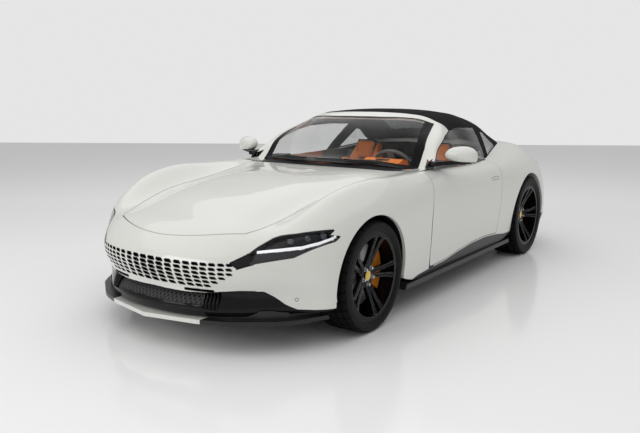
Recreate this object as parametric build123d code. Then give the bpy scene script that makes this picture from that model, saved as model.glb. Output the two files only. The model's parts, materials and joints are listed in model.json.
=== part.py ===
from build123d import *
from math import cos, sin, tan, radians, hypot
import os

# A two-door front-engined roadster with a fabric roof, at full size.
# +X is the car's left side, the nose points along -Y, +Z is up, and the ground is z = 0.
# The origin is under the middle of the overall box. A station s is the distance behind the front axle.

# ---- overall sizes ----------------------------------------------------------------------------
LENGTH = 4656.0
WHEELBASE = 2670.0
FRONT_OVERHANG = 965.0
FRONT_AXLE_Y = FRONT_OVERHANG - LENGTH / 2
FRONT_TRACK = 1652.0
REAR_TRACK = 1676.0

# ---- tyres and wheels -------------------------------------------------------------------------
FRONT_TYRE_RADIUS = 339.75
FRONT_TYRE_WIDTH = 245.0
REAR_TYRE_RADIUS = 353.75
REAR_TYRE_WIDTH = 285.0
RIM_SEAT_RADIUS = 258.0
RIM_FLANGE_HEIGHT = 10.0
RIM_WALL = 14.0
RIM_NARROWER = 22.0          # how much narrower the rim is than its tyre
SPOKE_PAIRS = 5
SPOKE_DEPTH = 34.0
SPOKE_STEP = 5.0
# One spoke of a pair, from the hub out: radius, angle from the pair's middle line.
SPOKE = [(60, 1.5), (100, 3.0), (180, 4.6), (249, 5.6), (249, 12.6), (180, 12.2), (100, 18.0), (60, 30.0)]
SPOKE_RIDGE = [(60, 5.0), (100, 5.2), (180, 5.9), (249, 6.6), (249, 11.6), (180, 10.9), (100, 15.6), (60, 26.0)]
HUB_RADIUS = 70.0
HUB_FACE = 62.0
FRONT_DISC_RADIUS = 195.0
REAR_DISC_RADIUS = 180.0
DISC_THICKNESS = 32.0
DISC_INBOARD = 0.0           # disc's outer face, inboard of the wheel's middle plane
STEER_LIMIT = 30.0

# ---- panels -----------------------------------------------------------------------------------
PANEL = 20.0                 # bolted-on panels: wings, bumpers, lids
SEAT_GAP = 0.4               # between a fixed panel's back and the structure that carries it
MOVING_GAP = 6.0             # round every door and lid
GLASS = 5.0
FRAME_DEPTH = 28.0           # windscreen frame
ROOF_THICKNESS = 22.0        # folded fabric, padding and lining together

# Wheel arches: station of the centre from its own axle, height, lip radius, inner well radius
FRONT_ARCH = (-14.0, 336.0, 380.0, 412.0)
REAR_ARCH = (6.0, 352.0, 388.0, 400.0)
WELL_INNER_X = 515.0
REAR_WELL_INNER_X = 640.0
ARCH_LIP_X = 895.0

# ---- cabin and luggage space ------------------------------------------------------------------
CABIN_HALF_WIDTH = 806.0
CABIN_FRONT = 830.0
CABIN_REAR = 2420.0
FLOOR_TOP = 235.0
REAR_FLOOR_TOP = 330.0
REAR_CABIN_FRONT = 1990.0
REAR_CABIN_HALF_WIDTH = 640.0
DOOR_INNER_X = 818.0
BAY_HALF_WIDTH = 478.0
BAY_FRONT = -560.0
BAY_REAR = 690.0
BOOT_FRONT = 2560.0
BOOT_REAR = 3560.0
BOOT_FLOOR = 480.0
BOOT_HALF_WIDTH = 560.0

# ---- body skin --------------------------------------------------------------------------------
# Each row is one cross-section from the middle (x = 0) to the sill. Its columns are: middle, inner
# bonnet, bonnet dome, bonnet edge, wing crest, shoulder, flank, lower flank, sill.
# Nose and tail rows fan about a line through (axle, FAN_HEIGHT): (x, distance from that line).
FAN_HEIGHT = 250.0
NOSE_FAN = {
    -3: [(0, 905), (200, 888), (400, 830), (560, 735), (700, 615), (820, 510), (900, 430), (935, 340), (935, 180)],
    5: [(0, 894), (200, 880), (400, 825), (560, 735), (700, 625), (820, 520), (900, 440), (940, 350), (940, 180)],
    11: [(0, 935), (200, 920), (400, 868), (560, 778), (700, 658), (820, 540), (902, 450), (942, 350), (942, 180)],
    16: [(0, 965), (200, 952), (400, 903), (560, 815), (700, 695), (820, 565), (905, 465), (945, 350), (945, 180)],
    22: [(0, 930), (200, 922), (400, 885), (560, 817), (700, 712), (820, 590), (907, 480), (948, 355), (945, 180)],
    28: [(0, 872), (200, 868), (400, 845), (560, 796), (700, 715), (820, 610), (910, 492), (950, 360), (945, 180)],
    37: [(0, 765), (200, 762), (410, 745), (560, 710), (700, 705), (822, 630), (915, 505), (953, 368), (945, 180)],
    52: [(0, 665), (210, 662), (420, 640), (590, 607), (728, 662), (840, 622), (925, 512), (958, 374), (945, 180)],
    70: [(0, 606), (220, 603), (430, 583), (607, 553), (760, 640), (868, 598), (938, 500), (963, 378), (948, 180)],
    90: [(0, 602), (225, 600), (440, 577), (622, 544), (782, 642), (880, 600), (945, 492), (967, 375), (950, 180)],
}
# Upright rows between the axles, drawn for a wheelbase of ROWS_WHEELBASE: station, then (x, z).
ROWS_WHEELBASE = 2670.0
MIDDLE_ROWS = {
    350: [(0, 880), (225, 877), (440, 857), (640, 832), (798, 898), (888, 860), (945, 755), (960, 560), (940, 260)],
    800: [(0, 902), (225, 901), (440, 896), (660, 888), (805, 898), (885, 862), (930, 765), (938, 530), (925, 200)],
    1350: [(0, 925), (225, 923), (440, 917), (660, 905), (805, 890), (888, 860), (937, 775), (945, 540), (925, 180)],
    1950: [(0, 945), (225, 943), (440, 935), (660, 918), (805, 898), (900, 862), (955, 775), (960, 550), (930, 200)],
    2350: [(0, 985), (225, 983), (440, 973), (650, 950), (795, 922), (898, 875), (962, 775), (975, 570), (945, 280)],
}
TAIL_FAN = {
    90: [(0, 755), (225, 753), (430, 748), (640, 735), (790, 700), (890, 630), (962, 520), (987, 370), (960, 180)],
    72: [(0, 795), (225, 794), (430, 790), (630, 778), (770, 742), (880, 650), (958, 525), (985, 375), (960, 180)],
    53: [(0, 925), (225, 921), (430, 910), (612, 880), (752, 812), (862, 705), (945, 563), (980, 390), (958, 180)],
    40: [(0, 1085), (225, 1079), (430, 1056), (600, 1006), (740, 910), (852, 785), (937, 606), (976, 405), (955, 180)],
    33: [(0, 1105), (225, 1096), (430, 1063), (600, 1002), (740, 907), (852, 787), (937, 608), (976, 406), (955, 180)],
    25: [(0, 1082), (225, 1072), (430, 1038), (600, 978), (740, 888), (850, 772), (935, 605), (974, 405), (955, 180)],
    15: [(0, 1057), (225, 1046), (430, 1012), (600, 953), (740, 865), (850, 755), (932, 598), (970, 400), (950, 180)],
    5: [(0, 978), (225, 970), (430, 940), (600, 890), (740, 810), (848, 708), (925, 572), (962, 390), (945, 180)],
    -5: [(0, 860), (225, 853), (430, 830), (600, 790), (740, 728), (840, 646), (912, 532), (948, 380), (938, 180)],
}

# ---- windscreen, roof and side windows --------------------------------------------------------
# One skin for all of them, as rows that fan about a line across the cabin: (x, distance from it).
# Columns: middle, quarter, half, screen edge, pillar or roof edge, window middle, window sill, below.
CANOPY_STATION = 1750.0
CANOPY_HEIGHT = 500.0
CANOPY_FAN = {
    16: [(0, 1110), (260, 1095), (480, 1045), (715, 930), (822, 925), (838, 900), (850, 860), (856, 800)],
    25: [(0, 1052), (260, 1040), (480, 1000), (712, 907), (818, 912), (832, 860), (844, 800), (852, 700)],
    38: [(0, 939), (260, 931), (480, 906), (698, 850), (783, 832), (808, 740), (828, 645), (846, 480)],
    50: [(0, 898), (260, 890), (480, 868), (662, 806), (742, 775), (792, 645), (828, 518), (846, 385)],
    60: [(0, 867), (260, 859), (480, 834), (618, 775), (704, 745), (778, 603), (828, 458), (846, 340)],
    67: [(0, 851), (260, 843), (480, 817), (600, 765), (677, 724), (764, 580), (828, 431), (846, 320)],
    83: [(0, 812), (260, 805), (480, 775), (595, 725), (655, 668), (748, 540), (828, 400), (846, 300)],
    100: [(0, 818), (260, 811), (480, 778), (595, 726), (652, 675), (746, 545), (826, 403), (844, 300)],
    117: [(0, 878), (260, 871), (470, 838), (580, 785), (645, 722), (737, 585), (806, 452), (826, 340)],
    132: [(0, 980), (260, 973), (450, 945), (565, 896), (630, 824), (708, 690), (775, 555), (800, 430)],
    143: [(0, 1084), (250, 1078), (440, 1053), (552, 1005), (620, 930), (690, 800), (745, 660), (780, 520)],
    151: [(0, 1175), (250, 1170), (435, 1152), (545, 1118), (615, 1064), (672, 958), (715, 820), (760, 650)],
    156: [(0, 1245), (250, 1240), (435, 1225), (548, 1200), (625, 1150), (680, 1040), (720, 900), (765, 720)],
    160: [(0, 1290), (250, 1285), (435, 1272), (550, 1247), (630, 1200), (685, 1100), (725, 960), (770, 780)],
}

# ---- panel outlines ---------------------------------------------------------------------------
# Bonnet in plan: half-width and station along its side, from the front corner back.
BONNET_SIDE = [(505, -667), (560, -520), (598, -300), (620, -12), (640, 330), (680, 814)]
BONNET_NOSE_STATION = -824.0
BONNET_TAIL_STATION = 706.0
# Door seen from the side: station, height, from the top front corner round to the top rear.
DOOR_OUTLINE = [
    (812, 1000), (806, 860), (766, 560), (756, 250), (1003, 257), (1205, 283), (1457, 307), (1737, 313),
    (1975, 300), (1996, 600), (1990, 1000),
]
DOOR_CORNER = 30.0
DOOR_SHOULDER = 905.0         # the door's top edge stays below this height
# Radius from the hinge's axis to the door's front face, by height: it swings past the wing's edge.
DOOR_FRONT_FACE = [
    (66.9, 240), (56.6, 260), (51.6, 270), (50.5, 295), (50.5, 340), (57.5, 450), (62.0, 560),
    (69.3, 650), (72.4, 700), (74.4, 780), (79.5, 860),
]
# The way in behind each door, seen from the side.
DOORWAY = [(845, 1100), (845, 400), (905, 335), (1895, 335), (1962, 430), (1962, 1100)]
DOORWAY_CORNER = 35.0
# Stations where the welded structure's front, floor and rear sections meet.
SECTION_JOINTS = (830.0, 1978.0)
# Side window opening seen from the side.
WINDOW_OUTLINE = [(860, 860), (905, 893), (1165, 1031), (1370, 1112), (1545, 1148), (1800, 1158), (2100, 1152)]
GLASS_REAR = [(2118, 1152), (1986, 860)]
# Below and inboard of its flank the wing is open to the wheel well and the sill.
WING_OPEN_SPAN = (-1200.0, 900.0)
WING_OPEN_HEIGHT = (100.0, 420.0)
# Lower edge of the painted front bumper, seen from the front: x, z.
BUMPER_LOWER_EDGE = [
    (0, 336), (230, 332), (363, 337), (454, 350), (537, 358), (646, 357), (677, 330), (727, 283), (780, 250),
    (850, 243), (1000, 243),
]
# Seam between front bumper and wing seen from the side.
WING_SEAM = [(-690, 900), (-690, 640), (-640, 560), (-470, 600), (-300, 628), (-345, 560), (-345, 100)]
HEADLAMP_OUTLINE = [
    (514, -807, 519), (579, -742, 559), (612, -691, 600), (658, -614, 643), (688, -587, 656), (762, -536, 667),
    (830, -460, 677), (894, -361, 678), (884, -403, 652), (919, -341, 641), (909, -382, 616), (845, -497, 587),
    (774, -582, 544), (692, -664, 530), (617, -733, 515), (549, -790, 491),
]
HEADLAMP_FACING = (0.48, -0.68, 0.55)
HEADLAMP_DEPTH = 60.0
# Inside the lamp: a bowl under a clear cover, split by the light bar into an upper and a lower part.
LAMP_BORDER = 7.0
LAMP_COVER = 3.0
LAMP_COVER_GAP = 0.4
LAMP_BOWL_DEPTH = 34.0
LAMP_BAR_DEPTH = 8.0
LAMP_SHELF_DEPTH = 16.0
LAMP_BLANK_END = [(480, -860, 540), (586, -742, 575), (628, -733, 515), (560, -850, 430)]
LAMP_BAR = [
    (617, -704, 586), (712, -620, 597), (800, -541, 607), (857, -467, 625), (891, -405, 642), (908, -366, 653),
    (908, -368, 639), (891, -407, 624), (857, -469, 607), (800, -543, 589), (712, -622, 578), (617, -704, 568),
]
LAMP_SHELF = [
    (617, -704, 574), (712, -622, 584), (800, -543, 595), (857, -469, 613), (891, -407, 630), (950, -330, 610),
    (845, -520, 540), (700, -690, 490), (600, -760, 500),
]
PROJECTORS = [(738, -566, 626), (806, -500, 640), (862, -430, 652)]
PROJECTOR_RADIUS = 17.0
PROJECTOR_DEPTH = 14.0
LAMP_REACH = 160.0
LAMP_GAP = 2.0
FACING_CORNER = 4.0
SKIRT_TOP = [
    (300, 206), (438, 207), (574, 231), (835, 240), (1003, 245), (1205, 271), (1457, 295), (1737, 301),
    (1975, 286), (2143, 266), (2320, 262),
]
SKIRT_BOTTOM = 172.0
SKIRT_INNER_X = 850.0
BOOT_LID_SIDE = [(560, 3010), (575, 3300), (560, 3700)]
BOOT_LID_LOWEST = 715.0
DECK_FRONT = 2640.0
DECK_REAR = 3004.0
DECK_HALF_WIDTH = 560.0
REAR_BUMPER_OUTLINE = [(3040, 100), (3040, 560), (3300, 640), (3470, 705), (3900, 705), (3900, 100)]
DIFFUSER_TOP = [(0, 420), (520, 420), (650, 370), (1000, 320)]
TAIL_LAMP_PROUD = 4.0
INTAKE_FRONT_DEPTH = 8.0
INTAKE_BACK_DEPTH = 45.0
INTAKE_MOUTH = [(-440, 246), (-245, 272), (245, 272), (440, 246), (440, 420), (-440, 420)]
INTAKE_MOUTH_DEPTH = 30.0
INTAKE_CUT = (-1200.0, -600.0)
INTAKE_FINS = 5
INTAKE_FIN_PITCH = 19.0
INTAKE_FIN_THICKNESS = 4.0
INTAKE_FIN_LEAN = 32.0
# Grille: slots through the bumper in rows of (height, slots each side), narrower towards the ends.
GRILLE_ROWS = [(509, 10), (484, 10), (459, 10), (434, 9), (409, 8), (383, 7)]
GRILLE_COLUMNS = [32, 95, 158, 221, 279, 332, 380, 427, 472, 512]
GRILLE_SLOT_WIDTH = (48.0, 24.0)
GRILLE_SLOT_HEIGHT = (16.0, 9.0)
GRILLE_SLOT_LEAN = 2.0
GRILLE_CUT = (-1000.0, -700.0)
LOWER_SLIT = (234.0, 409.0, 345.0, 356.0)
# Door mirror's head in upright slices: x, station, half its length, bottom and top.
MIRROR_HEAD = [
    (882, 1068, 14, 984, 1010), (900, 1074, 44, 964, 1036), (940, 1084, 62, 952, 1055), (990, 1094, 68, 944, 1062),
    (1040, 1106, 62, 936, 1058), (1076, 1116, 44, 944, 1038), (1092, 1122, 14, 978, 1006),
]
MIRROR_GLASS = [(870, 1108), (1110, 1140), (1110, 1250), (870, 1250)]
MIRROR_ARM = [(846, 905), (862, 905), (900, 1020), (1030, 1080), (1018, 1116), (900, 1096), (846, 1070)]
MIRROR_ARM_HEIGHT = (880.0, 944.0)
# Number plate recess: half its width, bottom and top.
PLATE_RECESS = (265.0, 470.0, 590.0)
PLATE_RECESS_DEPTH = 8.0
SPLITTER_EDGE = [(0, -965), (343, -892), (480, -839), (536, -808), (720, -671), (800, -575), (880, -400)]
RISER_EDGE = [(0, -880), (330, -830), (500, -770), (650, -680), (740, -590), (800, -470), (840, -345)]
RISER_TOP = 246.0
SPLITTER_REAR = -330.0
SPLITTER_BOTTOM = 172.0
SPLITTER_TOP = 196.0
SPLITTER_INSERT_X = 359.0
SCREEN_OUTLINE = [
    (-712, 935, 889), (-480, 822, 893), (-240, 757, 895), (0, 735, 895), (240, 757, 895), (480, 822, 893),
    (712, 935, 889), (698, 1092, 1023), (618, 1363, 1171), (600, 1440, 1199),
    (420, 1372, 1228), (210, 1329, 1247), (0, 1315, 1251), (-210, 1329, 1247), (-420, 1372, 1228),
    (-600, 1440, 1199), (-618, 1363, 1171), (-698, 1092, 1023),
]
SCREEN_FACING = (0.0, -0.5, 0.87)
HEADER_REAR = [(0, 1420), (400, 1446), (720, 1530)]
REAR_GLASS_OUTLINE = [
    (-430, 2400, 1190), (0, 2385, 1200), (430, 2400, 1190), (455, 2660, 1080), (0, 2690, 1080), (-455, 2660, 1080),
]
REAR_GLASS_FACING = (0.0, 0.42, 0.9)
QUARTER_GLASS = [(2150, 925), (2262, 1112), (2340, 1098), (2530, 990), (2490, 968)]
DOOR_HINGE = (895.0, 726.0)
DOOR_HINGE_HEIGHTS = (445.0, 680.0)
HINGE_PIN_RADIUS = 7.0
HINGE_EYE_RADIUS = 16.0
HINGE_POCKET_RADIUS = 112.0
HINGE_ARM = (95.0, 10.0, 30.0)
HINGE_ARM_ANGLE = 137.0
RUNNING = 0.3                # radial clearance of a pin in its eye
KINGPIN_X = 758.0
KINGPIN_RADIUS = 10.0
LOWER_ARM_HEIGHT = 225.0
UPPER_ARM_HEIGHT = 455.0
STEERING_WHEEL = (375.0, 1235.0, 830.0)
STEERING_WHEEL_RADIUS = 180.0
STEERING_RIM_RADIUS = 15.0
COLUMN_TILT = 22.0
SEAT_X = 375.0
DASH_HALF_WIDTH = 800.0
EXHAUST_X = (480.0, 600.0)
EXHAUST_STATION = 3535.0
EXHAUST_HEIGHT = 300.0
EXHAUST_RADIUS = 44.0
EXHAUST_LENGTH = 150.0
# Plan limit of the side windows: they lie outboard of this line of (x, station) points.
WINDOW_INBOARD = [(800, 840), (740, 1090), (640, 1500), (560, 1650), (560, 2200), (1100, 2200), (1100, 840)]


def at(x, s, z):
    """A point from its side distance, station and height."""
    return Vector(x, FRONT_AXLE_Y + s, z)


# ---- skins ------------------------------------------------------------------------------------
def fan_row(station, height, angle, row, backwards):
    """The 3-D points of one fan row, forward of its line or behind it."""
    turn = radians(angle)
    way = 1 if backwards else -1
    return [at(x, station + way * r * cos(turn), height + r * sin(turn)) for x, r in row]


def body_rows():
    rows = [fan_row(0, FAN_HEIGHT, a, row, False) for a, row in NOSE_FAN.items()]
    stretch = WHEELBASE / ROWS_WHEELBASE
    rows += [[at(x, s * stretch, z) for x, z in row] for s, row in MIDDLE_ROWS.items()]
    rows += [fan_row(WHEELBASE, FAN_HEIGHT, a, row, True) for a, row in TAIL_FAN.items()]
    return rows


def canopy_rows():
    return [fan_row(CANOPY_STATION, CANOPY_HEIGHT, a, row, False) for a, row in CANOPY_FAN.items()]


def inset(rows, depth):
    """Every point of the net moved inwards along the net's own normal."""
    whole = [[Vector(-p.X, p.Y, p.Z) for p in row[:0:-1]] + row for row in rows]
    last_row = len(whole) - 1
    last_column = len(whole[0]) - 1
    moved = []
    for i, row in enumerate(whole):
        along_row = []
        for j, p in enumerate(row):
            across = row[min(j + 1, last_column)] - row[max(j - 1, 0)]
            along = whole[min(i + 1, last_row)][j] - whole[max(i - 1, 0)][j]
            out = across.cross(along).normalized()
            if i in (0, last_row):
                flat = (row[0] - row[last_column]).cross(row[0] - row[last_column // 2]).normalized()
                out = (out - flat * out.dot(flat)).normalized()
            along_row.append(p - out * depth)
        moved.append(along_row)
    return [row[last_column // 2:] for row in moved]


def loft_skin(rows, depth):
    """The solid under a net of half rows, mirrored, with a flat underside between its sills."""
    net = inset(rows, depth) if depth else rows
    wires = []
    for row in net:
        points = [Vector(-p.X, p.Y, p.Z) for p in row[:0:-1]] + [Vector(0, row[0].Y, row[0].Z)] + row[1:]
        top = Edge.make_spline(points, parameters=list(range(len(points))))
        wires.append(Wire([top, Edge.make_line(points[-1], points[0])]))
    return Solid.make_loft(wires)


SKINS = {}


def body(depth=0.0):
    if ("body", depth) not in SKINS:
        SKINS["body", depth] = loft_skin(body_rows(), depth)
    return SKINS["body", depth]


def canopy(depth=0.0):
    if ("canopy", depth) not in SKINS:
        SKINS["canopy", depth] = loft_skin(canopy_rows(), depth)
    return SKINS["canopy", depth]


# ---- cutting tools ----------------------------------------------------------------------------
def box(x, s, z):
    """A block from its three (low, high) ranges."""
    size = Box(x[1] - x[0], s[1] - s[0], z[1] - z[0])
    return Pos(*at((x[0] + x[1]) / 2, (s[0] + s[1]) / 2, (z[0] + z[1]) / 2)) * size


def side_prism(outline, x0, x1, corner=0, grow=0):
    """An outline of (station, height) points, carried across the car."""
    face = make_face(Polyline(*[(FRONT_AXLE_Y + s, z) for s, z in outline], close=True))
    if corner:
        face = fillet(face.vertices(), corner)
    if grow:
        face = offset(face, grow)
    return extrude(Plane.YZ.offset(x0) * face, x1 - x0)


def front_prism(outline, s0, s1):
    """An outline of (x, z) points, carried from station s0 to s1."""
    face = make_face(Polyline(*outline, close=True))
    return extrude(Plane.XZ.offset(-(FRONT_AXLE_Y + s1)) * face, s1 - s0)


def facing_prism(points, facing, depth, grow=0):
    """A smooth outline through 3-D points, carried both ways along the facing direction."""
    plane = Plane(origin=at(*points[0]), z_dir=Vector(*facing))
    flat = [plane.to_local_coords(at(*p)) for p in points]
    face = make_face(Polyline(*[(p.X, p.Y) for p in flat], close=True))
    face = fillet(face.vertices(), FACING_CORNER)
    if grow:
        face = offset(face, grow)
    return extrude(plane * face, depth, both=True)


def across(s, z, radius, x0, x1):
    """A cylinder lying across the car."""
    return Pos(*at((x0 + x1) / 2, s, z)) * Rot(0, 90, 0) * Cylinder(radius, x1 - x0)


def other_side(shape):
    return mirror(shape, Plane.YZ)


def save(name, shape, colour):
    """Write one named piece."""
    solids = shape.solids()
    whole = solids[0] if len(solids) == 1 else Compound(children=solids)
    whole.label = name
    whole.color = Color(*colour)
    export_step(whole, f"parts/{name}.step")


PAINT = (0.93, 0.93, 0.9)
BLACK = (0.05, 0.05, 0.055)
CLOTH = (0.04, 0.04, 0.045)
CLEAR = (0.25, 0.3, 0.32)
TAN = (0.72, 0.33, 0.14)
STEEL = (0.5, 0.5, 0.52)
YELLOW = (0.95, 0.6, 0.08)
RED = (0.5, 0.02, 0.02)


# ---- openings shared by several panels --------------------------------------------------------
def bonnet_prism(grow=0.0):
    """The bonnet's outline in plan, or its opening when grown by the gap."""
    right = [(x + grow, FRONT_AXLE_Y + s) for x, s in BONNET_SIDE]
    right[0] = (right[0][0], right[0][1] - grow)
    right[-1] = (right[-1][0], right[-1][1] + grow)
    left = [(-x, y) for x, y in right]
    nose = ThreePointArc(left[0], (0, FRONT_AXLE_Y + BONNET_NOSE_STATION - grow), right[0])
    tail = ThreePointArc(right[-1], (0, FRONT_AXLE_Y + BONNET_TAIL_STATION + grow), left[-1])
    face = make_face([nose, Spline(*right), tail, Spline(*left)])
    return extrude(Plane.XY.offset(400) * face, 700)


FRONT_AXLE = (0.0, FRONT_ARCH, WELL_INNER_X)
REAR_AXLE = (WHEELBASE, REAR_ARCH, REAR_WELL_INNER_X)


def arch(axle, side):
    """One wheel opening: the lip through the flank, the larger well behind it and its open foot."""
    station, (s, z, lip, well), inner = axle
    cut = across(station + s, z, lip, *sorted((side * inner, side * 1100)))
    cut += across(station + s, z, well, *sorted((side * inner, side * ARCH_LIP_X)))
    return cut + box(sorted((side * inner, side * 1100)), (station + s - lip, station + s + lip), (0, z - 60))


def arches(axle):
    return [arch(axle, -1), arch(axle, 1)]


def door_prism(grow=0.0):
    return side_prism(DOOR_OUTLINE, DOOR_INNER_X - grow, 1100, DOOR_CORNER, grow)


def window_prism(grow=0.0):
    """The left side window's opening."""
    plan = make_face(Polyline(*[(x, FRONT_AXLE_Y + s) for x, s in WINDOW_INBOARD], close=True))
    outboard = extrude(Plane.XY.offset(700) * plan, 700)
    return side_prism(WINDOW_OUTLINE + GLASS_REAR, 0, 1100, 0, grow) & outboard


def plan_prism(half_outline, z0, z1, grow=0.0):
    """A mirrored outline of (x, station) points, carried upwards."""
    right = [(x, FRONT_AXLE_Y + s) for x, s in half_outline]
    left = [(-x, y) for x, y in reversed(right) if x > 0]
    face = make_face(Polyline(*right, *left, close=True))
    if grow:
        face = offset(face, grow)
    return extrude(Plane.XY.offset(z0) * face, z1 - z0)


def plan_slab(outline, z0, z1):
    """An outline of (x, station) points, carried upwards on one side only."""
    face = make_face(Polyline(*[(x, FRONT_AXLE_Y + s) for x, s in outline], close=True))
    return extrude(Plane.XY.offset(z0) * face, z1 - z0)


def boot_lid_prism(grow=0.0):
    return plan_prism(BOOT_LID_SIDE, BOOT_LID_LOWEST - grow, 1200, grow)


def front_region():
    """Everything ahead of the doors and the windscreen pillars."""
    door_edge = [(s - MOVING_GAP, z) for s, z in DOOR_OUTLINE[:4]]
    outline = [(-1200, 1000)] + door_edge + [(door_edge[-1][0], 0), (-1200, 0)]
    return side_prism(outline, -1200, 1200)


def bumper_region():
    return side_prism([(-1200, 900)] + WING_SEAM + [(-1200, 100)], -1200, 1200)


def lower_region():
    """Below the painted bumper's lower edge, seen from the front."""
    edge = BUMPER_LOWER_EDGE
    outline = [(-x, z) for x, z in reversed(edge)] + edge[1:] + [(edge[-1][0], 100), (-edge[-1][0], 100)]
    return front_prism(outline, -1200, SPLITTER_REAR)


def headlamp_prism(grow=0.0):
    return facing_prism(HEADLAMP_OUTLINE, HEADLAMP_FACING, LAMP_REACH, grow)


def both(shape):
    return [shape, other_side(shape)]


def skirt_region():
    outline = SKIRT_TOP + [(SKIRT_TOP[-1][0], 100), (SKIRT_TOP[0][0], 100)]
    return side_prism(outline, SKIRT_INNER_X, 1100)


def hinge_pockets():
    """Round pockets behind the front wings, where the door hinges fold."""
    x, s = DOOR_HINGE
    height = HINGE_ARM[2] + 4 * MOVING_GAP
    return [Pos(*at(x, s, z)) * Cylinder(HINGE_POCKET_RADIUS, height) for z in DOOR_HINGE_HEIGHTS]


def hinge_pins():
    x, s = DOOR_HINGE
    height = HINGE_ARM[2] + 8 * MOVING_GAP
    return [Pos(*at(x, s, z)) * Cylinder(HINGE_PIN_RADIUS, height) for z in DOOR_HINGE_HEIGHTS]


def hinge_arms():
    """Arms from the door's inner front corner to eyes round the hinge pins."""
    x, s = DOOR_HINGE
    length, width, height = HINGE_ARM
    arms = []
    for z in DOOR_HINGE_HEIGHTS:
        arm = Pos(length / 2, 0, 0) * Box(length, width, height)
        eye = Cylinder(HINGE_EYE_RADIUS, height)
        bore = Cylinder(HINGE_PIN_RADIUS + RUNNING, height + 2)
        arms.append(Pos(*at(x, s, z)) * Rot(0, 0, HINGE_ARM_ANGLE) * (arm + eye - bore))
    return arms


# ---- painted panels ---------------------------------------------------------------------------
def bonnet():
    return (body() & bonnet_prism()) - body(PANEL)


def between(ends, share):
    return ends[0] + (ends[1] - ends[0]) * share


def grille_slots():
    """Six-sided slots that lean outwards, in rows across the nose."""
    tools = []
    last = len(GRILLE_COLUMNS) - 1
    lean = GRILLE_SLOT_LEAN
    for z, count in GRILLE_ROWS:
        for k, x in enumerate(GRILLE_COLUMNS[:count]):
            w = between(GRILLE_SLOT_WIDTH, k / last) / 2
            h = between(GRILLE_SLOT_HEIGHT, k / last) / 2
            cut, long_cut = 0.6 * h, h
            slot = [
                (cut - w - lean, h), (w - long_cut - lean, h), (w, h - long_cut), (w + lean, -h),
                (long_cut - w + lean, -h), (-w, long_cut - h),
            ]
            tools += [front_prism([(side * x + a, z + b) for a, b in slot], *GRILLE_CUT) for side in (1, -1)]
    return tools


def lower_slits():
    """One long slit with round ends under each end of the grille."""
    x0, x1, low, high = LOWER_SLIT
    tall = high - low
    face = SlotOverall(x1 - x0, tall)
    plane = Plane.XZ.offset(-(FRONT_AXLE_Y + GRILLE_CUT[1]))
    slit = extrude(plane * (Pos((x0 + x1) / 2, (low + high) / 2) * face), GRILLE_CUT[1] - GRILLE_CUT[0])
    return both(slit)


def front_bumper():
    piece = (body() & bumper_region()) - bonnet_prism(MOVING_GAP) - lower_region()
    for tool in both(headlamp_prism(LAMP_GAP)) + arches(FRONT_AXLE):
        piece = piece - tool
    return biggest(piece - body(PANEL)) - Compound(children=grille_slots() + lower_slits())


def wing():
    """The left wing, from the bumper seam and the lamp back to the door."""
    door_edge = [(s - MOVING_GAP, z) for s, z in DOOR_OUTLINE[:4]]
    region = side_prism(WING_SEAM[::-1] + door_edge + [(door_edge[-1][0], 100)], 0, 1200)
    piece = ((body() & region) - bonnet_prism(MOVING_GAP)) - box((-1, SKIRT_INNER_X), WING_OPEN_SPAN, WING_OPEN_HEIGHT)
    return piece - headlamp_prism(LAMP_GAP) - skirt_region() - arch(FRONT_AXLE, 1) - body(PANEL)


def cabin_space():
    front = box((-CABIN_HALF_WIDTH, CABIN_HALF_WIDTH), (CABIN_FRONT, REAR_CABIN_FRONT), (FLOOR_TOP, 1200))
    half = REAR_CABIN_HALF_WIDTH
    return front + box((-half, half), (REAR_CABIN_FRONT, CABIN_REAR), (REAR_FLOOR_TOP, 1200))


def body_structure():
    """Floor, sills, scuttle, bulkheads, wheel wells and rear quarters, as one welded piece."""
    outer = body()
    for bolted_on in (
        front_region(),
        bonnet_prism(MOVING_GAP),
        boot_lid_prism(MOVING_GAP),
        plan_prism([(DECK_HALF_WIDTH, DECK_FRONT), (DECK_HALF_WIDTH, DECK_REAR)], 700, 1200),
        side_prism(REAR_BUMPER_OUTLINE, -1200, 1200),
    ):
        outer = outer - bolted_on
    shape = outer + body(PANEL + SEAT_GAP)
    for hollow in (
        front_prism([(-545, 205), (545, 205), (545, 545), (-545, 545)], -1200, -640),
        lower_region() - body(INTAKE_BACK_DEPTH + SEAT_GAP),
        box((-BAY_HALF_WIDTH, BAY_HALF_WIDTH), (BAY_FRONT, BAY_REAR), (150, 1200)),
        cabin_space(),
        box((-540, 540), (BOOT_FRONT, 3010), (BOOT_FLOOR, 900)),
        box((-540, 540), (3000, 3530), (BOOT_FLOOR, 1200)),
        *both(headlamp_prism(1) - body(HEADLAMP_DEPTH + SEAT_GAP)),
        *both(door_prism(MOVING_GAP)),
        *both(side_prism(DOORWAY, CABIN_HALF_WIDTH - 20, DOOR_INNER_X, DOORWAY_CORNER)),
        *both(skirt_region()),
        *arches(FRONT_AXLE),
        *arches(REAR_AXLE),
        *exhaust_holes(),
        *[side for pocket in hinge_pockets() for side in both(pocket)],
    ):
        shape = shape - hollow
    for pin in hinge_pins():
        shape = shape + both(pin)
    return shape


def structure_sections(structure):
    """The structure's welded sections, from the nose back."""
    front, rear = SECTION_JOINTS
    half = SEAT_GAP / 2
    ranges = (
        ("front_structure", (-1200, front - half)), ("floor_structure", (front + half, rear - half)),
        ("rear_structure", (rear + half, 3900)),
    )
    return [(name, biggest(structure & box((-1200, 1200), span, (0, 1400)))) for name, span in ranges]


def lamp_window(grow=0.0):
    """The lamp's clear part: its outline without the border and the blank inner end."""
    blank = facing_prism(LAMP_BLANK_END, HEADLAMP_FACING, LAMP_REACH, -grow)
    return headlamp_prism(grow - LAMP_BORDER) - blank


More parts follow.
